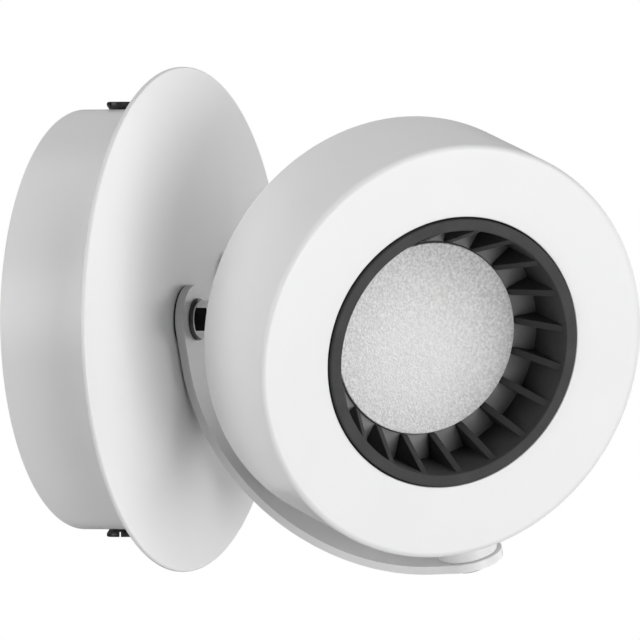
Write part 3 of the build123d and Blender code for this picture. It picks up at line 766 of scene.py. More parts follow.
# Painted light: a far lighter grey than the casting, on a thin sheet over the pocket floors, for the light that falls
# on them.
POCKET_FLOOR_PAINTED_LIGHT = Finish(
    "pocket_floor_painted_light", (0.22, 0.22, 0.222), (0.18, 0.18, 0.182), (0.55, 0.70), 0.35, 0.012,
    drift_size=6.0, specular=0.3,
)
FROST = Finish(
    "frosted_diffuser_painted_shade", (0.85, 0.85, 0.85), (0.74, 0.74, 0.74), (0.30, 0.6), 0.5, 0.15,
    drift_size=0.65, pattern=Pattern.FROST, specular=0.4,
)
BRIGHT = Finish(
    "bright_nut_plating", (0.95, 0.95, 0.95), (0.91, 0.91, 0.91), (0.08, 0.14), 0.6, 0.001, metallic=1.0
)
# Painted reflection: near-black sheets on the nut's flats stand in for the dark surroundings that the bright flats
# reflect.
NUT_FLAT_PAINTED_REFLECTION = Finish(
    "nut_flat_painted_reflection", (0.004, 0.004, 0.004), (0.006, 0.006, 0.006), (0.30, 0.40), 0.4, 0.002,
    drift_size=2.0, specular=0.15,
)
BLACK_STEEL = Finish(
    "blackened_steel", (0.030, 0.030, 0.032), (0.045, 0.044, 0.043), (0.30, 0.45), 0.3, 0.006,
    metallic=0.35, drift_size=3.0,
)
DARK_WASHER = Finish(
    "dark_washer_steel", (0.10, 0.10, 0.105), (0.07, 0.07, 0.075), (0.25, 0.4), 0.4, 0.004,
    metallic=0.8, drift_size=4.0,
)
ZINC = Finish(
    "zinc_plated_steel", (0.56, 0.57, 0.58), (0.49, 0.50, 0.50), (0.28, 0.45), 0.5, 0.004,
    metallic=1.0, drift_size=7.0, pattern=Pattern.BRUSHED,
)
BRASS = Finish(
    "terminal_brass", (0.66, 0.47, 0.20), (0.58, 0.41, 0.17), (0.25, 0.4), 0.4, 0.003, metallic=1.0,
    drift_size=3.0,
)
RUBBER = Finish(
    "black_grommet_rubber", (0.022, 0.022, 0.022), (0.030, 0.030, 0.030), (0.55, 0.75), 0.25, 0.012,
    drift_size=5.0,
)
WHITE_PLASTIC = Finish(
    "moulded_white_plastic", (0.70, 0.70, 0.67), (0.66, 0.66, 0.63), (0.40, 0.55), 0.3, 0.008
)
GREEN_BOARD = Finish(
    "green_circuit_board", (0.02, 0.13, 0.05), (0.04, 0.20, 0.08), (0.3, 0.45), 0.5, 0.01, drift_size=2.0
)
YELLOW_TAPE = Finish(
    "transformer_tape", (0.62, 0.43, 0.04), (0.52, 0.36, 0.03), (0.2, 0.35), 1.0, 0.02,
    pattern=Pattern.BRUSHED,
)
DARK_SLEEVE = Finish(
    "capacitor_sleeve", (0.02, 0.02, 0.035), (0.03, 0.03, 0.05), (0.2, 0.3), 0.6, 0.004, coat=0.4
)
FOAM = Finish(
    "white_foam_tape", (0.62, 0.62, 0.60), (0.52, 0.52, 0.50), (0.8, 0.95), 0.5, 0.06, drift_size=1.0
)
REFLECTOR_WHITE = Finish(
    "reflector_gloss_white", (0.86, 0.86, 0.86), (0.83, 0.83, 0.83), (0.12, 0.2), 0.8, 0.003, coat=0.3
)
BOARD_WHITE = Finish(
    "white_led_board", (0.78, 0.78, 0.76), (0.72, 0.72, 0.70), (0.3, 0.45), 0.4, 0.006, drift_size=4.0
)
PHOSPHOR = Finish(
    "led_phosphor", (0.80, 0.62, 0.12), (0.74, 0.55, 0.10), (0.3, 0.5), 0.2, 0.02, drift_size=0.8
)
THERMAL_GREY = Finish(
    "thermal_pad_grey", (0.22, 0.22, 0.25), (0.18, 0.18, 0.21), (0.6, 0.8), 0.3, 0.01, drift_size=2.0
)


@dataclass(frozen=True)
class Part:
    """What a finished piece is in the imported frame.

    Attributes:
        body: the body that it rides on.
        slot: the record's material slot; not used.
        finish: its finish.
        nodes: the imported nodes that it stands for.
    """

    body: str
    slot: str
    finish: Finish
    nodes: tuple[str, ...]


def hand_over(piece: bpy.types.Object, frame: Matrix, part: Part, smooth: float = 35.0) -> None:
    """Put a modelled piece in its place, shade it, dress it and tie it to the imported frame.

    Args:
        piece: the modelled piece.
        frame: the frame that it was modelled in.
        part: what it is.
        smooth: faces that meet at less than this angle, in degrees, are shaded as one.
    """
    place(piece, frame)
    bpy.ops.object.shade_smooth_by_angle(angle=radians(smooth))
    bpy.ops.object.modifier_add(type="WEIGHTED_NORMAL")
    step = piece.modifiers[-1]
    step.keep_sharp = True
    bpy.ops.object.modifier_apply(modifier=step.name)
    piece.data.materials.clear()
    piece.data.materials.append(part.finish.material())
    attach(piece, part.body)
    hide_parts(*part.nodes)
    LOG.info("%s: %d faces, rides on %s", piece.name, len(piece.data.polygons), part.body)


@dataclass(frozen=True)
class Frames:
    """Frames of the three bodies at rest, in metres."""

    canopy: Matrix
    arm: Matrix
    head: Matrix

    @classmethod
    def read(cls, joints: Sequence[dict]) -> "Frames":
        """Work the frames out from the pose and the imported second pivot.

        Args:
            joints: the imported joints.

        Returns:
            The frames.
        """
        pivot = next(joint for joint in joints if joint["name"] == "head_pan")["pos_m"]
        canopy = spun(90, "X")
        arm = canopy @ spun(ARM_TURN, "Z")
        head = Matrix.Translation(pivot) @ arm @ spun(90 - ARM_BEND, "X") @ spun(-HEAD_PAN, "Y")
        return cls(canopy, arm, head)


@dataclass
class Canopy:
    """Drum on the wall with its backing disc and side screws."""

    frame: Matrix
    drum_diameter: float = 100.0
    drum_depth: float = 25.0
    drum_wall: float = 1.0
    drum_front_round: float = 0.6
    drum_rim_round: float = 0.25
    disc_diameter: float = 120.0
    disc_thickness: float = 1.25
    disc_edge_round: float = 0.4
    pivot_hole: float = 2.55
    grommet_hole: float = 4.5
    grommet_place: Place = (25.0, 10.0)
    screw_from_wall: float = 9.0
    screw_shank: float = 2.0
    screw_seat: float = 2.6
    screw_head: float = 3.2
    screw_cone: float = 0.9
    screw_rim: float = 0.9
    screw_round: float = 0.5
    screw_reach: float = 9.0
    screw_slot: float = 0.45
    screw_slot_length: float = 9.4
    screw_slot_depth: float = 1.2
    screw_slot_turn: float = -22.8
    thread_pitch: float = 0.7
    thread_depth: float = 0.3

    def screw_frame(self, turn: float) -> Matrix:
        """Give the frame whose z runs out through a side screw; turn 0 is the top one."""
        return spun(turn, "Z") @ shifted(0, 0, self.screw_from_wall) @ spun(-90, "X")

    def build_drum(self) -> None:
        """Model the drum, open to the wall."""
        radius = self.drum_diameter / 2
        bore = radius - self.drum_wall
        inside = self.drum_depth - self.drum_wall
        drum = turned("canopy_drum_cup", [
            Turn(self.pivot_hole, self.drum_depth),
            Turn(radius, self.drum_depth, self.drum_front_round),
            Turn(radius, 0, self.drum_rim_round),
            Turn(bore, 0, self.drum_rim_round),
            Turn(bore, inside, self.drum_front_round),
            Turn(self.pivot_hole, inside),
        ], Ends.LOOPED)
        drill(drum, self.grommet_hole, (inside - 1, self.drum_depth + 1), [self.grommet_place])
        for turn in (0, 180):
            hole = rod(self.screw_shank + FIT, bore - 1, radius + 1)
            change(drum, place(hole, self.screw_frame(turn)), Change.CUT)
        hand_over(drum, self.frame, Part("base", "white_paint", WHITE_PAINT, ("canopy_drum",)))

    def build_disc(self) -> None:
        """Model the thin plate on the front of the drum."""
        front = self.drum_depth + self.disc_thickness
        radius = self.disc_diameter / 2
        disc = turned("backing_disc_plate", [
            Turn(self.pivot_hole, self.drum_depth),
            Turn(radius, self.drum_depth, self.disc_edge_round),
            Turn(radius, front, self.disc_edge_round),
            Turn(self.pivot_hole, front),
        ], Ends.LOOPED)
        drill(disc, self.grommet_hole, (self.drum_depth - 1, front + 1), [self.grommet_place])
        hand_over(disc, self.frame, Part("base", "white_paint", WHITE_PAINT, ("backing_disc",)))

    def build_screws(self) -> None:
        """Model the two dark screws whose round heads stand on the drum's side."""
        seat = self.drum_diameter / 2
        cone_top = seat + self.screw_cone
        top = cone_top + self.screw_rim
        start = seat - self.screw_reach
        ridges = int((self.screw_reach - self.drum_wall) / self.thread_pitch)
        outline = []
        for ridge in range(ridges):
            foot = start + ridge * self.thread_pitch
            outline.append(Turn(self.screw_shank - self.thread_depth, foot))
            outline.append(Turn(self.screw_shank, foot + self.thread_pitch / 2))
        outline.append(Turn(self.screw_shank, seat))
        outline.append(Turn(self.screw_seat, seat))
        outline.append(Turn(self.screw_head, cone_top, self.screw_round / 2))
        outline.append(Turn(self.screw_head, top, self.screw_round))
        screw = turned("side_screw", outline, Ends.CAPPED, SMALL_ROUND)
        slot = cross_slot(self.screw_slot_length, self.screw_slot, top, self.screw_slot_depth)
        change(screw, place(slot, spun(self.screw_slot_turn, "Z")), Change.CUT)
        screws = group_of("side_screw_pair", screw, [self.screw_frame(turn) for turn in (0, 180)])
        hand_over(screws, self.frame, Part("base", "black_steel", BLACK_STEEL, ("side_screws",)))

    def build(self) -> None:
        """Model and dress all of the canopy."""
        self.build_drum()
        self.build_disc()
        self.build_screws()


@dataclass
class Grommet:
    """Push-in rubber ring in a panel, turned about z."""

    name: str
    frame: Matrix
    body: str
    node: str
    panel: Range
    at: Place
    hole: float = 4.5
    bore: float = 2.7
    lip: float = 1.5
    lip_thickness: float = 1.2
    lip_round: float = 0.45

    def build(self) -> None:
        """Model and dress the ring."""
        low, high = self.panel
        neck = self.hole - FIT
        edge = self.hole + self.lip
        ring = turned(self.name, [
            Turn(self.bore, low - self.lip_thickness, self.lip_round),
            Turn(edge, low - self.lip_thickness, self.lip_round),
            Turn(edge, low, 0.2),
            Turn(neck, low),
            Turn(neck, high),
            Turn(edge, high, 0.2),
            Turn(edge, high + self.lip_thickness, self.lip_round),
            Turn(self.bore, high + self.lip_thickness, self.lip_round),
        ], Ends.LOOPED, SMALL_ROUND)
        where = self.frame @ shifted(*self.at)
        hand_over(ring, where, Part(self.body, "grommet_rubber", RUBBER, (self.node,)))


@dataclass
class FirstPivot:
    """Screw, washers and nut that carry the arm on the canopy."""

    frame: Matrix
    drum_inside: float = 24.0
    disc_front: float = 26.25
    arm_thickness: float = 2.0
    radius: float = 2.5
    across_flats: float = 8.0
    head_height: float = 3.5
    inner_washer: float = 1.0
    spacer_radius: float = 8.0
    spacer_thickness: float = 0.5
    washer_radius: float = 5.0
    washer_thickness: float = 0.8
    nut_height: float = 3.7
    nut_radius: float = 4.6
    nut_flat: float = 3.6
    nut_chamfer: float = 0.4
    flat_margin: float = 0.12
    pad_thickness: float = 0.05
    foot_radius: float = 4.5
    foot_thickness: float = 0.45
    stud_short: float = 0.3

    def hexagon(self, start: float, end: float) -> bpy.types.Object:
        """Model a hexagon with two flats across x and turned chamfers on both ends.

        Args:
            start: lower end.
            end: upper end.

        Returns:
            The hexagon.
        """
        corner = self.across_flats / 2 / cos(pi / 6)
        flat = self.across_flats / 2
        bar = rod(corner, start, end, sides=6)
        crown = turned("crown", [
            Turn(flat, start),
            Turn(corner, start + self.nut_chamfer),
            Turn(corner, end - self.nut_chamfer),
            Turn(flat, end),
        ], Ends.CAPPED, SMALL_ROUND)
        change(bar, crown, Change.KEEP)
        return bar

    def nut(self, span: Range) -> bpy.types.Object:
        """Model the round nut with a spanner flat on each side.

        Args:
            span: its two ends.

        Returns:
            The nut.
        """
        hole = self.radius + FIT
        nut = turned("pivot_nut_barrel", [
            Turn(hole, span[0]),
            Turn(self.nut_radius, span[0], self.nut_chamfer / 2),
            Turn(self.nut_radius, span[1], self.nut_chamfer),
            Turn(hole, span[1]),
        ], Ends.LOOPED, BIG_ROUND)
        reach = self.nut_radius + 1
        for turn in (0, 180):
            cut = block((self.nut_flat, reach), (-reach, reach), (span[0] + self.flat_margin, span[1] + 1))
            change(nut, place(cut, spun(turn, "Z")), Change.CUT)
        return nut

    def painted_reflection_pads(self, span: Range) -> bpy.types.Object:
        """Model the near-black sheets on the two spanner flats, a painted dark reflection on the bright nut.

        Args:
            span: the nut's two ends.

        Returns:
            Both sheets.
        """
        half = (self.nut_radius ** 2 - self.nut_flat ** 2) ** 0.5 - self.flat_margin
        pad = block(
            (self.nut_flat - self.pad_thickness, self.nut_flat + self.pad_thickness),
            (-half, half),
            (span[0] + self.flat_margin, span[1] - self.nut_chamfer),
        )
        soften(pad, self.pad_thickness / 2)
        return group_of("pivot_nut_flat_painted_reflection", pad, [spun(turn, "Z") for turn in (0, 180)])

    def washer(self, name: str, radius: float, span: Range) -> bpy.types.Object:
        """Model a flat washer.

        Args:
            name: the piece's name.
            radius: outer radius.
            span: its two faces.

        Returns:
            The washer.
        """
        hole = self.radius + WASHER_PLAY
        edge = (span[1] - span[0]) / 5
        return turned(name, [
            Turn(hole, span[0]),
            Turn(radius, span[0], edge),
            Turn(radius, span[1], edge),
            Turn(hole, span[1]),
        ], Ends.LOOPED, SMALL_ROUND)

    def build(self) -> None:
        """Model and dress the pivot's hardware."""
        spacer_top = self.disc_front + self.spacer_thickness
        arm_face = spacer_top + RUN_GAP + self.arm_thickness
        washer_back = arm_face + RUN_GAP
        nut_back = washer_back + self.washer_thickness
        nut_front = nut_back + self.nut_height
        head_front = self.drum_inside - self.inner_washer

        spacer = self.washer("spacer_washer_ring", self.spacer_radius, (self.disc_front, spacer_top))
        hand_over(spacer, self.frame, Part("base", "black_steel", BLACK_STEEL, ("spacer_washer",)))
        front = self.washer("front_washer_ring", self.washer_radius, (washer_back, nut_back))
        hand_over(front, self.frame, Part("base", "black_steel", DARK_WASHER, ("front_washer",)))
        inner = self.washer("inner_washer_ring", self.washer_radius, (head_front, self.drum_inside))
        hand_over(inner, self.frame, Part("base", "zinc_steel", ZINC, ("inner_washer",)))

        nut_span = (nut_back + self.foot_thickness, nut_front)
        hand_over(self.nut(nut_span), self.frame, Part("base", "bright_nut", BRIGHT, ("pivot_nut",)))
        # Near-black sheets on the flats: a painted dark reflection.
        pads = self.painted_reflection_pads(nut_span)
        hand_over(pads, self.frame, Part("base", "bright_nut", NUT_FLAT_PAINTED_REFLECTION, ("pivot_nut",)))
        foot = (nut_back, nut_back + self.foot_thickness)
        ring = self.washer("pivot_nut_foot", self.foot_radius, foot)
        hand_over(ring, self.frame, Part("base", "bright_nut", BRIGHT, ("pivot_nut",)))

        screw = self.hexagon(head_front - self.head_height, head_front)
        screw.name = "pivot_hexagon_screw"
        stud = turned("stud", [
            Turn(self.radius, head_front - self.head_height / 2),
            Turn(self.radius, nut_front - self.stud_short, 0.3),
        ], Ends.CAPPED, SMALL_ROUND)
        change(screw, stud, Change.ADD)
        soften(screw, 0.12, angle=20)
        hand_over(screw, self.frame, Part("base", "zinc_steel", ZINC, ("pivot_screw",)))


@dataclass
class Arm:
    """Flat strip bent through a quarter turn, with round ends about its two pivots."""

    frame: Matrix
    back: float = 26.8
    thickness: float = 2.0
    width: float = 16.4
    inner_radius: float = 51.4
    root: float = 8.9
    tip: float = 6.3
    pivot_hole: float = 2.55
    edge_round: float = 0.3
    end_sides: int = 96
    bend_steps: int = 72

    def half_disc(self) -> bpy.types.Object:
        """Add the round end of the strip, as a flat sheet on the upper side of x."""
        deselect()
        bpy.ops.mesh.primitive_circle_add(
            vertices=self.end_sides, radius=self.width / 2 * MM, fill_type="NGON"
        )
        sheet = bpy.context.object
        start_edit(sheet)
        bpy.ops.mesh.bisect(plane_co=(0, 0, 0), plane_no=(0, 1, 0), clear_inner=True)
        end_edit()
        return sheet

    def build(self) -> None:
        """Model and dress the strip."""
        face = self.back + self.thickness
        bend = radians(ARM_BEND)
        along = Vector((0, -cos(bend), sin(bend)))
        sheet = place(self.half_disc(), shifted(0, 0, face))
        start_edit(sheet)
        pick_edges(sheet, lambda point: abs(point.y) < NEAR * MM)
        bpy.ops.mesh.extrude_edges_move(TRANSFORM_OT_translate={"value": (0, -self.root * MM, 0)})
        bpy.ops.mesh.spin(
            steps=self.bend_steps,
            angle=bend,
            center=(0, -self.root * MM, (face + self.inner_radius) * MM),
            axis=(1, 0, 0),
        )
        bpy.ops.mesh.extrude_edges_move(TRANSFORM_OT_translate={"value": along * self.tip * MM})
        end_edit()

        arc_end = Vector((0, -self.root - self.inner_radius * sin(bend), face + self.inner_radius * (1 - cos(bend))))
        tip = arc_end + along * self.tip
        across = Vector((1, 0, 0))
        end_frame = Matrix((across, along, across.cross(along))).transposed().to_4x4()
        end_frame.translation = tip * MM
        strip = joined("arm_strip_bent", [sheet, place(self.half_disc(), end_frame)])
        start_edit(strip)
        bpy.ops.mesh.remove_doubles(threshold=NEAR * MM)
        bpy.ops.mesh.normals_make_consistent(inside=False)
        end_edit()
        root_face = max(strip.data.polygons, key=lambda polygon: polygon.center.y)
        if root_face.normal.z < 0:
            start_edit(strip)
            bpy.ops.mesh.flip_normals()
            end_edit()
        select_only(strip)
        bpy.ops.object.modifier_add(type="SOLIDIFY")
        step = strip.modifiers[-1]
        step.thickness = self.thickness * MM
        step.offset = -1
        step.use_even_offset = True
        bpy.ops.object.modifier_apply(modifier=step.name)
        drill(strip, self.pivot_hole, (self.back - 1, face + 1), [(0, 0)])
        hole = rod(self.pivot_hole, -self.thickness * 2, self.thickness * 2)
        change(strip, place(hole, end_frame), Change.CUT)
        soften(strip, self.edge_round, steps=3)
        hand_over(strip, self.frame, Part("arm", "white_paint", WHITE_PAINT, ("arm_strip",)))


@dataclass
class SpotHead:
    """White cup of the head with its rear cover."""

    frame: Matrix
    radius: float = 50.0
    depth: float = 31.6
    wall: float = 1.5
    front_round: float = 1.4
    inside_round: float = 1.4
    rear_round: float = 0.6
    pivot_behind_face: float = 15.8
    window: float = 32.7
    window_round: float = 0.25
    pivot_hole: float = 2.55
    cover_thickness: float = 1.5
    cover_sunk: float = 0.3
    post_radius: float = 3.5
    post_circle: float = 43.5
    post_count: int = 4
    post_first: float = 45.0
    screw_radius: float = 1.5
    screw_head: float = 2.8
    screw_length: float = 9.0
    sink_boss: float = 3.2
    sink_circle: float = 40.0
    sink_flange_at: float = 8.0
    sink_screw_end: float = 4.0
    grommet_hole: float = 4.5

    def behind(self, depth: float) -> float:
        """Give the height of a depth behind the front face."""
        return self.pivot_behind_face - depth

    @property
    def cover_span(self) -> Range:
        """Heights of the cover's outer and inner face."""
        back = self.depth - self.cover_sunk
        return self.behind(back), self.behind(back - self.cover_thickness)

    @property
    def posts(self) -> list[Place]:
        """Places of the cover's screws."""
        return ring_places(self.post_circle, self.post_count, self.post_first)

    def build_shell(self) -> None:
        """Model the cup with its window, posts and bosses."""
        bore = self.radius - self.wall
        face = self.behind(0)
        rear = self.behind(self.depth)
        inside = self.behind(self.wall)
        shell = turned("head_shell_cup", [
            Turn(self.window, face, self.window_round),
            Turn(self.radius, face, self.front_round),
            Turn(self.radius, rear, self.rear_round),
            Turn(bore, rear, 0.2),
            Turn(bore, inside, self.inside_round),
            Turn(self.window, inside, self.window_round),
        ], Ends.LOOPED)
        middle = self.behind(self.wall / 2)
        for at in self.posts:
            change(shell, rod(self.post_radius, self.cover_span[1], middle, at), Change.ADD)
        thread = (self.cover_span[0], self.cover_span[0] + self.screw_length)
        drill(shell, self.screw_radius + FIT, thread, self.posts)
        bosses = ring_places(self.sink_circle, self.post_count, 0)
        for at in bosses:
            change(shell, rod(self.sink_boss, self.behind(self.sink_flange_at), middle, at), Change.ADD)
        hold = (self.behind(self.sink_flange_at + 1), self.behind(self.sink_screw_end))
        drill(shell, self.screw_radius + FIT, hold, bosses)
        hole = rod(self.pivot_hole, bore - self.wall, self.radius + self.wall)
        change(shell, place(hole, spun(90, "X")), Change.CUT)
        hand_over(shell, self.frame, Part("head", "white_paint", WHITE_PAINT, ("head_shell",)), smooth=30)

    def build_cover(self) -> None:
        """Model the flat cover in the back of the cup and its countersunk screws."""
        edge = self.radius - self.wall - SLIP
        back, front = self.cover_span
        cover = turned("rear_cover_plate", [
            Turn(self.grommet_hole, front),
            Turn(edge, front),
            Turn(edge, back, 0.3),
            Turn(self.grommet_hole, back),
        ], Ends.LOOPED)
        wide = self.screw_head + FIT
        narrow = self.screw_radius + FIT
        for at in self.posts:
            change(cover, cone((wide, narrow), (back, front), at), Change.CUT)
        hand_over(cover, self.frame, Part("head", "white_paint", WHITE_PAINT, ("rear_cover",)))

        screw = turned("cover_screw", [
            Turn(self.screw_head, back, 0.1),
            Turn(self.screw_radius, front),
            Turn(self.screw_radius, back + self.screw_length, 0.3),
        ], Ends.CAPPED, SMALL_ROUND)
        recess = cross_slot(self.screw_head * 1.1, 0.7, -back, 1.0)
        change(screw, place(recess, spun(180, "X")), Change.CUT)
        screws = group_of("rear_cover_screw_set", screw, [shifted(*at) for at in self.posts])
        hand_over(screws, self.frame, Part("head", "zinc_steel", ZINC, ("rear_cover_screws",)))

    def build(self) -> None:
        """Model and dress the head's white pieces."""
        self.build_shell()
        self.build_cover()


@dataclass
class HeatSink:
    """Charcoal casting: rim, radial fins that slope down to the light, and the light's cup."""

    frame: Matrix
    pivot_behind_face: float = 15.8
    ring: float = 32.3
    rim_width: float = 2.8
    rim_proud: float = 0.8
    rim_round: float = 0.4
    fin_floor: float = 15.0
    floor: float = 2.5
    depth: float = 24.0
    cup: float = 26.8
    light_bore: float = 21.7
    diffuser: float = 23.2
    diffuser_depth: float = 14.1
    diffuser_thickness: float = 2.0
    fin_count: int = 20
    fin_thickness: float = 1.7
    fin_start: float = 0.5
    fin_to_diffuser: float = 0.2
    fin_phase: float = -8.3
    fin_round: float = 0.22
    flange_at: float = 8.0
    flange_thickness: float = 2.5
    flange_width: float = 3.5
    ear_circle: float = 40.0
    ear_radius: float = 4.0
    ear_hole: float = 1.55
    ear_count: int = 4
    # Off-centre point, in mm, that the diffuser's painted shade darkens away from.
    painted_shade_centre_at: Place = (-4.0, -4.0)
    # Half thickness of the painted-light sheet on the pocket floors, and its margin off the diffuser's seat, in mm.
    coat: float = 0.04
    painted_light_margin: float = 0.2

    def behind(self, depth: float) -> float:
        """Give the height of a depth behind the head's front face."""
        return self.pivot_behind_face - depth

    def casting(self) -> bpy.types.Object:
        """Model the round part of the casting.

        Returns:
            Rim, floor, cup and flange as one turned piece.
        """
        trough = self.ring - self.rim_width
        seat = self.diffuser + SLIP
        seat_depth = self.behind(self.diffuser_depth + self.diffuser_thickness)
        rim = self.behind(-self.rim_proud)
        floor_back = self.behind(self.fin_floor + self.floor)
        flange = self.ring + self.flange_width
        flange_front = self.behind(self.flange_at)
        flange_back = self.behind(self.flange_at + self.flange_thickness)
        return turned("heat_sink_casting", [
            Turn(self.light_bore, self.behind(self.depth)),
            Turn(self.light_bore, seat_depth),
            Turn(seat, seat_depth),
            Turn(seat, self.behind(self.fin_floor), 0.15),
            Turn(trough, self.behind(self.fin_floor)),
            Turn(trough, rim, self.rim_round),
            Turn(self.ring, rim, self.rim_round),
            Turn(self.ring, flange_front, 0.3),
            Turn(flange, flange_front, 0.3),
            Turn(flange, flange_back, 0.3),
            Turn(self.ring, flange_back, 0.3),
            Turn(self.ring, floor_back, 0.4),
            Turn(self.cup, floor_back, 0.4),
            Turn(self.cup, self.behind(self.depth + self.floor), 0.4),
        ], Ends.CAPPED)

    def fin(self) -> bpy.types.Object:
        """Model one fin along x, its front edge sloping down from the rim to the light.

        Returns:
            The fin.
        """
        inner = self.diffuser + SLIP + self.fin_to_diffuser
        trough = self.ring - self.rim_width
        top = self.behind(self.fin_start)
        root = self.behind(self.fin_floor + self.floor / 2)
        half = self.fin_thickness / 2
        fin = block((inner, trough), (-half, half), (root, top))
        start_edit(fin)
        middle = (inner + trough) / 2 * MM
        pick_vertices(fin, lambda point: point.x < middle and point.z > (root + 1) * MM)
        drop = (self.fin_start - self.diffuser_depth) * MM
        bpy.ops.transform.translate(value=(0, 0, drop))
        pick_faces(fin, lambda normal: normal.x > 1 - NEAR)
        into_rim = (self.rim_width / 2 * MM, 0, 0)
        bpy.ops.mesh.extrude_region_move(TRANSFORM_OT_translate={"value": into_rim})
        end_edit()
        soften(fin, self.fin_round, steps=3)
        return fin

    def build(self) -> None:
        """Model and dress the casting."""
        casting = self.casting()
        angles = [self.fin_phase - 90 + 360 * step / self.fin_count for step in range(self.fin_count)]
        fins = group_of("fins", self.fin(), [spun(angle, "Z") for angle in angles])
        change(casting, fins, Change.ADD)
        span = (self.behind(self.flange_at + self.flange_thickness), self.behind(self.flange_at))
        for step in range(self.ear_count):
            turn = spun(360 * step / self.ear_count, "Z")
            bridge = block((self.ring, self.ear_circle), (-self.ear_radius, self.ear_radius), span)
            ear = rod(self.ear_radius, span[0], span[1], (self.ear_circle, 0))
            change(bridge, ear, Change.ADD)
            change(casting, place(bridge, turn), Change.ADD)
        ears = ring_places(self.ear_circle, self.ear_count, 0)
        drill(casting, self.ear_hole, (span[0] - 1, span[1] + 1), ears)
        casting.name = "heat_sink_finned_ring"
        hand_over(casting, self.frame, Part("head", "charcoal_casting", CHARCOAL, ("heat_sink",)), smooth=30)

        # Painted light: a thin lighter sheet laid on the pocket floors stands in for the light that falls on them.
        floor = self.behind(self.fin_floor)
        coat = turned("heat_sink_pocket_floor_painted_light", [
            Turn(self.diffuser + SLIP + self.painted_light_margin, floor - self.coat),
            Turn(self.ring - self.rim_width + self.coat, floor - self.coat),
            Turn(self.ring - self.rim_width + self.coat, floor + self.coat),
            Turn(self.diffuser + SLIP + self.painted_light_margin, floor + self.coat),
        ], Ends.LOOPED)
        hand_over(coat, self.frame, Part("head", "charcoal_casting", POCKET_FLOOR_PAINTED_LIGHT, ("heat_sink",)))

        front = self.behind(self.diffuser_depth)
        back = self.behind(self.diffuser_depth + self.diffuser_thickness)
        sheet = turned("diffuser_frosted_disc", [
            Turn(self.diffuser, back, 0.2),
            Turn(self.diffuser, front, 0.3),
        ], Ends.CAPPED)
        # Painted shade on the diffuser: its colour darkens towards the rim, away from an off-centre point, for the
        # shade of the recess.
        painted_shade_centre = self.frame @ (Vector((*self.painted_shade_centre_at, front)) * MM)
        frost = replace(FROST, painted_shade_centre=painted_shade_centre)
        hand_over(sheet, self.frame, Part("head", "frosted_diffuser", frost, ("diffuser",)))


@dataclass
class SecondPivot:
    """Boss, screw and washer between the head and the arm's tip."""

    frame: Matrix
    head_radius: float = 50.0
    head_bore: float = 48.5
    boss_radius: float = 7.2
    boss_height: float = 5.45
    boss_round: float = 0.25
    radius: float = 2.5
    arm_thickness: float = 2.0
    plate_height: float = 4.0
    washer_radius: float = 4.5
    washer_thickness: float = 0.4
    screw_head: float = 4.3
    screw_head_height: float = 1.4
    screw_round: float = 0.5
    socket_across: float = 3.0
    socket_depth: float = 0.9

    def build(self) -> None:
        """Model and dress the pivot's pieces, with z down from the head to the arm."""
        down = self.frame @ spun(90, "X")
        boss_end = self.head_radius + self.boss_height
        washer_top = boss_end + self.arm_thickness + 2 * RUN_GAP
        head_foot = washer_top + self.washer_thickness
        head_top = head_foot + self.screw_head_height
        hole = self.radius + FIT
        boss = turned("head_boss_sleeve", [
            Turn(hole, self.head_bore),
            Turn(self.boss_radius, self.head_bore),
            Turn(self.boss_radius, boss_end, self.boss_round),
            Turn(hole, boss_end),
        ], Ends.LOOPED, SMALL_ROUND)
        drum = rod(self.head_radius + FIT, -self.head_radius, self.head_radius, sides=BIG_ROUND)
        change(boss, place(drum, spun(90, "X")), Change.CUT)
        hand_over(boss, down, Part("head", "white_paint", WHITE_PAINT, ("head_boss",)))

        washer = turned("tip_washer_ring", [
            Turn(self.radius + WASHER_PLAY, washer_top),
            Turn(self.washer_radius, washer_top, 0.1),
            Turn(self.washer_radius, head_foot, 0.1),
            Turn(self.radius + WASHER_PLAY, head_foot),
        ], Ends.LOOPED, SMALL_ROUND)
        hand_over(washer, down, Part("head", "zinc_steel", ZINC, ("tip_washer",)))

        screw = turned("head_pivot_socket_screw", [
            Turn(self.radius, self.head_bore - self.plate_height, 0.3),
            Turn(self.radius, head_foot),
            Turn(self.screw_head, head_foot, 0.1),
            Turn(self.screw_head, head_top, self.screw_round),
        ], Ends.CAPPED, SMALL_ROUND)
        socket = rod(self.socket_across / 2 / cos(pi / 6), head_top - self.socket_depth, head_top + 1, sides=6)
        change(screw, socket, Change.CUT)
        hand_over(screw, down, Part("head", "zinc_steel", ZINC, ("head_pivot_screw",)))


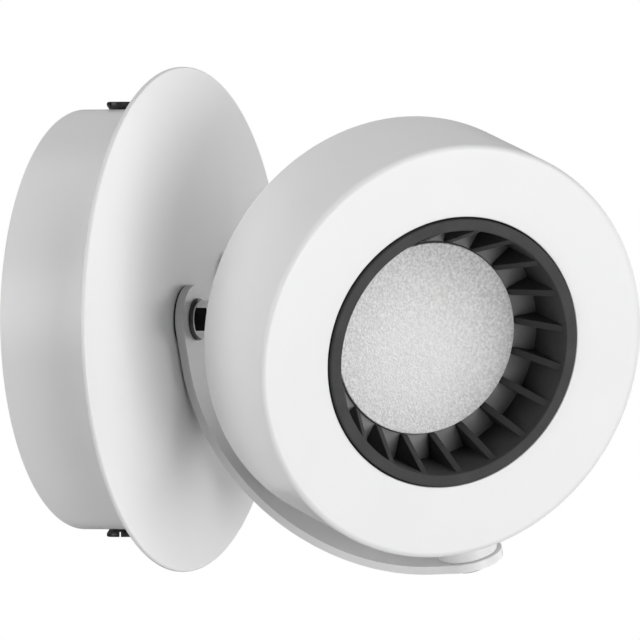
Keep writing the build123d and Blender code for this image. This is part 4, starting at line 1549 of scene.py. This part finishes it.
@dataclass
class WallFixings:
    """Bracket on the wall with the cable bush, the terminals and the earth point."""

    frame: Matrix
    width: float = 20.0
    thickness: float = 1.5
    flange_radius: float = 48.9
    flange_depth: float = 14.0
    slot_spacing: float = 60.0
    slot_length: float = 12.0
    slot_width: float = 4.5
    cable_hole: float = 6.5
    bush_bore: float = 4.0
    bush_lip: float = 2.0
    bush_lip_thickness: float = 1.5
    ear_length: float = 24.0
    ear_height: float = 20.0
    side_screw_hole: float = 2.05
    side_screw_from_wall: float = 9.0
    earth_height: float = 17.0
    earth_radius: float = 2.0
    earth_head: float = 3.5
    earth_head_height: float = 2.2
    earth_washer: float = 4.5
    earth_washer_thickness: float = 0.8
    terminal_length: float = 20.0
    terminal_width: float = 16.0
    terminal_height: float = 11.0
    terminal_edge: float = 2.0
    pole_pitch: float = 5.0
    clamp_radius: float = 1.4
    clamp_length: float = 4.0
    clamp_sunk: float = 1.0
    wire_hole: float = 1.3
    wire_height: float = 3.7
    fixing_radius: float = 1.5
    fixing_head: float = 2.5
    fixing_head_height: float = 2.0

    @property
    def terminal_middle(self) -> float:
        """Distance of the terminal block's middle from the first pivot."""
        return self.width / 2 + self.ear_length - self.terminal_edge - self.terminal_length / 2

    def slot_cutter(self) -> bpy.types.Object:
        """Model the cutter of one long hole, drawn out along y."""
        cutter = rod(self.slot_width / 2, -1, self.thickness + 1)
        stretch = (self.slot_length - self.slot_width) / 2 * MM
        for side in (-1, 1):
            start_edit(cutter)
            pick_vertices(cutter, lambda point: point.y * side > 0)
            bpy.ops.transform.translate(value=(0, side * stretch, 0))
            end_edit()
        return cutter

    def build_bracket(self) -> None:
        """Model the strap with its curved flanges, slots and ear."""
        half = self.width / 2
        reach = self.flange_radius
        strap = block((-half, half), (-reach - 1, reach + 1), (0, self.thickness))
        change(strap, rod(reach, -1, self.thickness + 1, sides=BIG_ROUND), Change.KEEP)
        flanges = turned("flanges", [
            Turn(reach - self.thickness, 0.01),
            Turn(reach, 0.01),
            Turn(reach, self.flange_depth),
            Turn(reach - self.thickness, self.flange_depth),
        ], Ends.LOOPED)
        sides = block((-half, half), (-reach - 1, reach + 1), (-1, self.flange_depth + 1))
        change(flanges, sides, Change.KEEP)
        change(strap, flanges, Change.ADD)
        end = half + self.ear_length
        ear = block((0, end), (-self.ear_height / 2, self.ear_height / 2), (0, self.thickness))
        change(strap, ear, Change.ADD)
        for side in (-1, 1):
            slot = place(self.slot_cutter(), shifted(0, side * self.slot_spacing / 2))
            change(strap, slot, Change.CUT)
        through = (-1, self.thickness + 1)
        drill(strap, self.cable_hole, through, [(0, 0)])
        drill(strap, self.earth_radius + FIT, through, [(0, self.earth_height)])
        drill(strap, self.fixing_radius + FIT, through, [(self.terminal_middle, 0)])
        for turn in (0, 180):
            where = spun(turn, "Z") @ shifted(0, 0, self.side_screw_from_wall) @ spun(-90, "X")
            hole = rod(self.side_screw_hole, reach - self.thickness - 2, reach + 1)
            change(strap, place(hole, where), Change.CUT)
        strap.name = "wall_bracket_strap"
        soften(strap, 0.2, angle=50)
        hand_over(strap, self.frame, Part("base", "zinc_steel", ZINC, ("wall_bracket",)))

    def build_bush(self) -> None:
        """Model the rubber bush in the cable hole."""
        lip_end = self.thickness + self.bush_lip_thickness
        lip = self.cable_hole + self.bush_lip
        neck = self.cable_hole - FIT
        bush = turned("cable_bush_ring", [
            Turn(self.bush_bore, 0),
            Turn(neck, 0),
            Turn(neck, self.thickness),
            Turn(lip, self.thickness, 0.2),
            Turn(lip, lip_end, 0.6),
            Turn(self.bush_bore, lip_end, 0.5),
        ], Ends.LOOPED, SMALL_ROUND)
        hand_over(bush, self.frame, Part("base", "grommet_rubber", RUBBER, ("cable_bush",)))

    def build_terminals(self) -> None:
        """Model the terminal block with its clamp screws and the screw that holds it."""
        middle = self.terminal_middle
        front = self.thickness + self.terminal_height
        half = self.terminal_length / 2
        body = block(
            (middle - half, middle + half),
            (-self.terminal_width / 2, self.terminal_width / 2),
            (self.thickness, front),
        )
        for side in (-1, 1):
            row = side * self.pole_pitch / 2
            groove = block(
                (middle - half - 1, middle + half + 1),
                (row - 0.6, row + 0.6),
                (front - 3.5, front + 1),
            )
            change(body, groove, Change.CUT)
        soften(body, 0.4, steps=3)
        clamp_top = front - self.clamp_sunk
        clamp_foot = clamp_top - self.clamp_length
        rows = [self.pole_pitch * step for step in (-1, 0, 1)]
        wells = [(middle + side * half / 2, row) for row in rows for side in (-1, 1)]
        drill(body, self.clamp_radius + FIT, (clamp_foot, front + 1), wells)
        drill(body, self.fixing_radius + FIT, (self.thickness - 1, front + 1), [(middle, 0)])
        head_foot = front - self.fixing_head_height
        drill(body, self.fixing_head + FIT, (head_foot, front + 1), [(middle, 0)])
        for row in rows:
            tunnel = rod(self.wire_hole, -half - 1, half + 1)
            across = shifted(middle, row, self.thickness + self.wire_height) @ spun(90, "Y")
            change(body, place(tunnel, across), Change.CUT)
        body.name = "terminal_block_body"
        hand_over(body, self.frame, Part("base", "white_plastic", WHITE_PLASTIC, ("terminal_block",)))

        clamp = turned("clamp", [
            Turn(self.clamp_radius, clamp_foot),
            Turn(self.clamp_radius, clamp_top, 0.15),
        ], Ends.CAPPED, SMALL_ROUND)
        slot = block((-2, 2), (-0.3, 0.3), (clamp_top - 0.7, clamp_top + 1))
        change(clamp, slot, Change.CUT)
        clamps = group_of("terminal_clamp_screws", clamp, [shifted(*at) for at in wells])
        hand_over(clamps, self.frame, Part("base", "brass_screws", BRASS, ("terminal_screws",)))

        fixing = turned("terminal_holding_screw", [
            Turn(self.fixing_radius, 0),
            Turn(self.fixing_radius, head_foot),
            Turn(self.fixing_head, head_foot),
            Turn(self.fixing_head, front, 0.4),
        ], Ends.CAPPED, SMALL_ROUND)
        change(fixing, cross_slot(self.fixing_head * 1.3, 0.7, front, 1.0), Change.CUT)
        where = self.frame @ shifted(middle, 0)
        hand_over(fixing, where, Part("base", "zinc_steel", ZINC, ("terminal_fixing_screw",)))

    def build_earth(self) -> None:
        """Model the earth screw and its washer."""
        seat = self.thickness + self.earth_washer_thickness
        top = seat + self.earth_head_height
        where = self.frame @ shifted(0, self.earth_height)
        screw = turned("earth_pan_screw", [
            Turn(self.earth_radius, 0),
            Turn(self.earth_radius, seat),
            Turn(self.earth_head, seat, 0.1),
            Turn(self.earth_head, top, 0.8),
        ], Ends.CAPPED, SMALL_ROUND)
        change(screw, cross_slot(self.earth_head * 1.2, 0.8, top, 1.2), Change.CUT)
        hand_over(screw, where, Part("base", "zinc_steel", ZINC, ("earth_screw",)))
        hole = self.earth_radius + WASHER_PLAY
        washer = turned("earth_washer_ring", [
            Turn(hole, self.thickness),
            Turn(self.earth_washer, self.thickness, 0.15),
            Turn(self.earth_washer, seat, 0.15),
            Turn(hole, seat),
        ], Ends.LOOPED, SMALL_ROUND)
        hand_over(washer, where, Part("base", "zinc_steel", ZINC, ("earth_washer",)))

    def build(self) -> None:
        """Model and dress everything on the bracket."""
        self.build_bracket()
        self.build_bush()
        self.build_terminals()
        self.build_earth()


@dataclass
class DriverBox:
    """Case and lid of the LED driver inside the drum."""

    frame: Matrix
    drum_inside: float = 24.0
    pad: float = 1.0
    width: float = 24.0
    length: float = 44.0
    height: float = 17.0
    wall: float = 1.2
    from_centre: float = 14.0
    corner_round: float = 0.9
    panel_margin: float = 3.0
    panel_sunk: float = 0.3

    def build(self) -> None:
        """Model and dress the case and the lid, which looks to the wall."""
        x = (-self.from_centre - self.width, -self.from_centre)
        y = (-self.length / 2, self.length / 2)
        front = self.drum_inside - self.pad
        back = front - self.height
        lid_front = back + self.wall
        case = block(x, y, (lid_front, front))
        soften(case, self.corner_round, steps=4)
        hollow = block(
            (x[0] + self.wall, x[1] - self.wall),
            (y[0] + self.wall, y[1] - self.wall),
            (lid_front - 1, front - self.wall),
        )
        change(case, hollow, Change.CUT)
        case.name = "driver_case_tub"
        part = Part("base", "white_plastic", WHITE_PLASTIC, ("driver_case",))
        hand_over(case, self.frame, part)

        lid = block(x, y, (back, lid_front))
        margin = self.panel_margin
        panel = block(
            (x[0] + margin, x[1] - margin),
            (y[0] + margin, y[1] - margin),
            (back - 1, back + self.panel_sunk),
        )
        change(lid, panel, Change.CUT)
        lid.name = "driver_lid_plate"
        soften(lid, 0.25, steps=3)
        hand_over(lid, self.frame, Part("base", "white_plastic", WHITE_PLASTIC, ("driver_lid",)))


KEPT_NODES: dict[str, Finish] = {
    "driver_pad": FOAM,
    "driver_board": GREEN_BOARD,
    "driver_transformer": YELLOW_TAPE,
    "driver_capacitor": DARK_SLEEVE,
    "reflector": REFLECTOR_WHITE,
    "led_board": BOARD_WHITE,
    "led_chips": PHOSPHOR,
    "thermal_pad": THERMAL_GREY,
    "board_screws": ZINC,
    "heat_sink_screws": ZINC,
    "pivot_nut_plate": ZINC,
}


def dress_kept_nodes(nodes: dict[str, bpy.types.Object]) -> None:
    """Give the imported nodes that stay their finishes.

    Args:
        nodes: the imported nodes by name.
    """
    for name, finish in KEPT_NODES.items():
        for slot in nodes[name].material_slots:
            slot.material = finish.material()
        LOG.info("%s: packed node, %s", name, finish.name)


@dataclass(frozen=True)
class SoftPatch:
    """One soft patch of light in the studio's surround.

    Attributes:
        azimuth: degrees round the lamp, as for the camera.
        elevation: degrees above the horizon.
        spread: degrees from the patch's middle to where it fades out.
        strength: brightness of its middle.
    """

    azimuth: float
    elevation: float
    spread: float
    strength: float


def direction(azimuth: float, elevation: float) -> Vector:
    """Give the direction from the lamp to a place round it, in degrees."""
    turn = radians(azimuth)
    lift = radians(elevation)
    return Vector((sin(turn) * cos(lift), -cos(turn) * cos(lift), sin(lift)))


@dataclass
class Studio:
    """Camera at the photograph's angle, pale floor and soft light.

    Attributes:
        azimuth: degrees round the lamp from its front to the camera.
        elevation: degrees from the horizon up to the camera.
        distance: metres from the target to the camera.
        lens: the camera's focal length in millimetres.
        target: the point that the camera looks at.
        floor_height: height of the floor below the lamp's middle, in metres.
        floor_size: length of the floor's sides, in metres.
        ambient: brightness of the surround between the patches.
        patches: the soft patches of light.
    """

    azimuth: float = -67.2
    elevation: float = 0.0
    distance: float = 3.305
    lens: float = 785.5
    target: Vector = Vector((0.00013, -0.06055, -0.00015))
    floor_height: float = -1.5
    floor_size: float = 6.0
    ambient: float = 0.02
    patches: tuple[SoftPatch, ...] = (
        SoftPatch(-25.0, -20.0, 26.0, 6.83),
        SoftPatch(0.0, 5.0, 26.0, 2.62),
        SoftPatch(-25.0, 30.0, 26.0, 1.94),
        SoftPatch(-123.0, 5.0, 26.0, 3.46),
        SoftPatch(-125.0, 30.0, 26.0, 0.84),
        SoftPatch(50.0, 5.0, 26.0, 1.05),
        SoftPatch(75.0, 5.0, 26.0, 0.89),
        SoftPatch(110.0, 30.0, 26.0, 0.68),
        SoftPatch(-150.0, 58.0, 32.0, 1.58),
        SoftPatch(150.0, 58.0, 32.0, 0.73),
    )

    def build_camera(self) -> None:
        """Add the camera."""
        back = direction(self.azimuth, self.elevation)
        deselect()
        bpy.ops.object.camera_add(location=self.target + back * self.distance)
        camera = bpy.context.object
        camera.rotation_euler = (-back).to_track_quat("-Z", "Y").to_euler()
        camera.data.lens = self.lens
        camera.data.clip_end = 100
        bpy.context.scene.camera = camera

    def build_floor(self) -> None:
        """Add a pale floor that shows only from above."""
        deselect()
        bpy.ops.mesh.primitive_plane_add(size=self.floor_size, location=(0, 0, self.floor_height))
        floor = bpy.context.object
        floor.name = "studio_floor"
        material = bpy.data.materials.new("pale_floor")
        material.use_nodes = True
        material.node_tree.nodes.clear()
        bench = NodeBench(material.node_tree)
        shader = bench.add("ShaderNodeBsdfPrincipled")
        shader.inputs["Base Color"].default_value = (0.9, 0.9, 0.9, 1)
        shader.inputs["Roughness"].default_value = 0.9
        clear = bench.add("ShaderNodeBsdfTransparent")
        mix = bench.add("ShaderNodeMixShader")
        bench.link(bench.add("ShaderNodeNewGeometry").outputs["Backfacing"], mix.inputs["Fac"])
        bench.link(shader.outputs["BSDF"], mix.inputs[1])
        bench.link(clear.outputs["BSDF"], mix.inputs[2])
        bench.link(mix.outputs["Shader"], bench.add("ShaderNodeOutputMaterial").inputs["Surface"])
        floor.data.materials.append(material)

    def patch_light(self, bench: NodeBench, patch: SoftPatch) -> bpy.types.NodeSocket:
        """Add the nodes of one patch.

        Args:
            bench: the world's nodes.
            patch: the patch.

        Returns:
            Its brightness in the direction that is looked at.
        """
        towards = bench.add("ShaderNodeVectorMath", operation="DOT_PRODUCT")
        towards.inputs[1].default_value = direction(patch.azimuth, patch.elevation)
        bench.link(bench.add("ShaderNodeTexCoord").outputs["Generated"], towards.inputs[0])
        fade = bench.add("ShaderNodeMapRange", interpolation_type="SMOOTHSTEP")
        fade.inputs["From Min"].default_value = cos(radians(patch.spread))
        fade.inputs["From Max"].default_value = 1.0
        fade.inputs["To Max"].default_value = patch.strength
        bench.link(towards.outputs["Value"], fade.inputs["Value"])
        return fade.outputs["Result"]

    def build_world(self) -> None:
        """Surround the lamp with soft patches of light, and show the camera plain white."""
        world = bpy.data.worlds.new("studio")
        world.use_nodes = True
        world.node_tree.nodes.clear()
        bench = NodeBench(world.node_tree)
        even = bench.add("ShaderNodeValue")
        even.outputs["Value"].default_value = self.ambient
        total = even.outputs["Value"]
        for patch in self.patches:
            plus = bench.add("ShaderNodeMath", operation="ADD")
            bench.link(total, plus.inputs[0])
            bench.link(self.patch_light(bench, patch), plus.inputs[1])
            total = plus.outputs["Value"]
        soft = bench.add("ShaderNodeBackground")
        bench.link(total, soft.inputs["Strength"])
        white = bench.add("ShaderNodeBackground")
        for node in (soft, white):
            node.inputs["Color"].default_value = (1, 1, 1, 1)
        mix = bench.add("ShaderNodeMixShader")
        bench.link(bench.add("ShaderNodeLightPath").outputs["Is Camera Ray"], mix.inputs["Fac"])
        bench.link(soft.outputs["Background"], mix.inputs[1])
        bench.link(white.outputs["Background"], mix.inputs[2])
        bench.link(mix.outputs["Shader"], bench.add("ShaderNodeOutputWorld").inputs["Surface"])
        bpy.context.scene.world = world
        bpy.context.scene.view_settings.view_transform = "Standard"

    def build(self) -> None:
        """Set up the whole studio."""
        self.build_camera()
        self.build_floor()
        self.build_world()


def main() -> None:
    """Load the frame, model and dress every piece, and set up the studio."""
    logging.basicConfig(level=logging.INFO, format="%(name)s %(message)s")
    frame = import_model()
    frames = Frames.read(frame["joints"])
    canopy = Canopy(frames.canopy)
    head = SpotHead(frames.head)
    disc_front = canopy.drum_depth + canopy.disc_thickness
    canopy_panel = (canopy.drum_depth - canopy.drum_wall, disc_front)
    for assembly in (
        canopy,
        Grommet("canopy_grommet_ring", frames.canopy, "base", "canopy_grommet", canopy_panel, canopy.grommet_place),
        WallFixings(frames.canopy),
        DriverBox(frames.canopy),
        FirstPivot(frames.canopy),
        Arm(frames.arm),
        head,
        Grommet("head_grommet_ring", frames.head, "head", "head_grommet", head.cover_span, (0.0, 0.0)),
        HeatSink(frames.head),
        SecondPivot(frames.head),
    ):
        assembly.build()
    dress_kept_nodes(frame["nodes"])
    Studio().build()


if __name__ == "__main__":
    main()
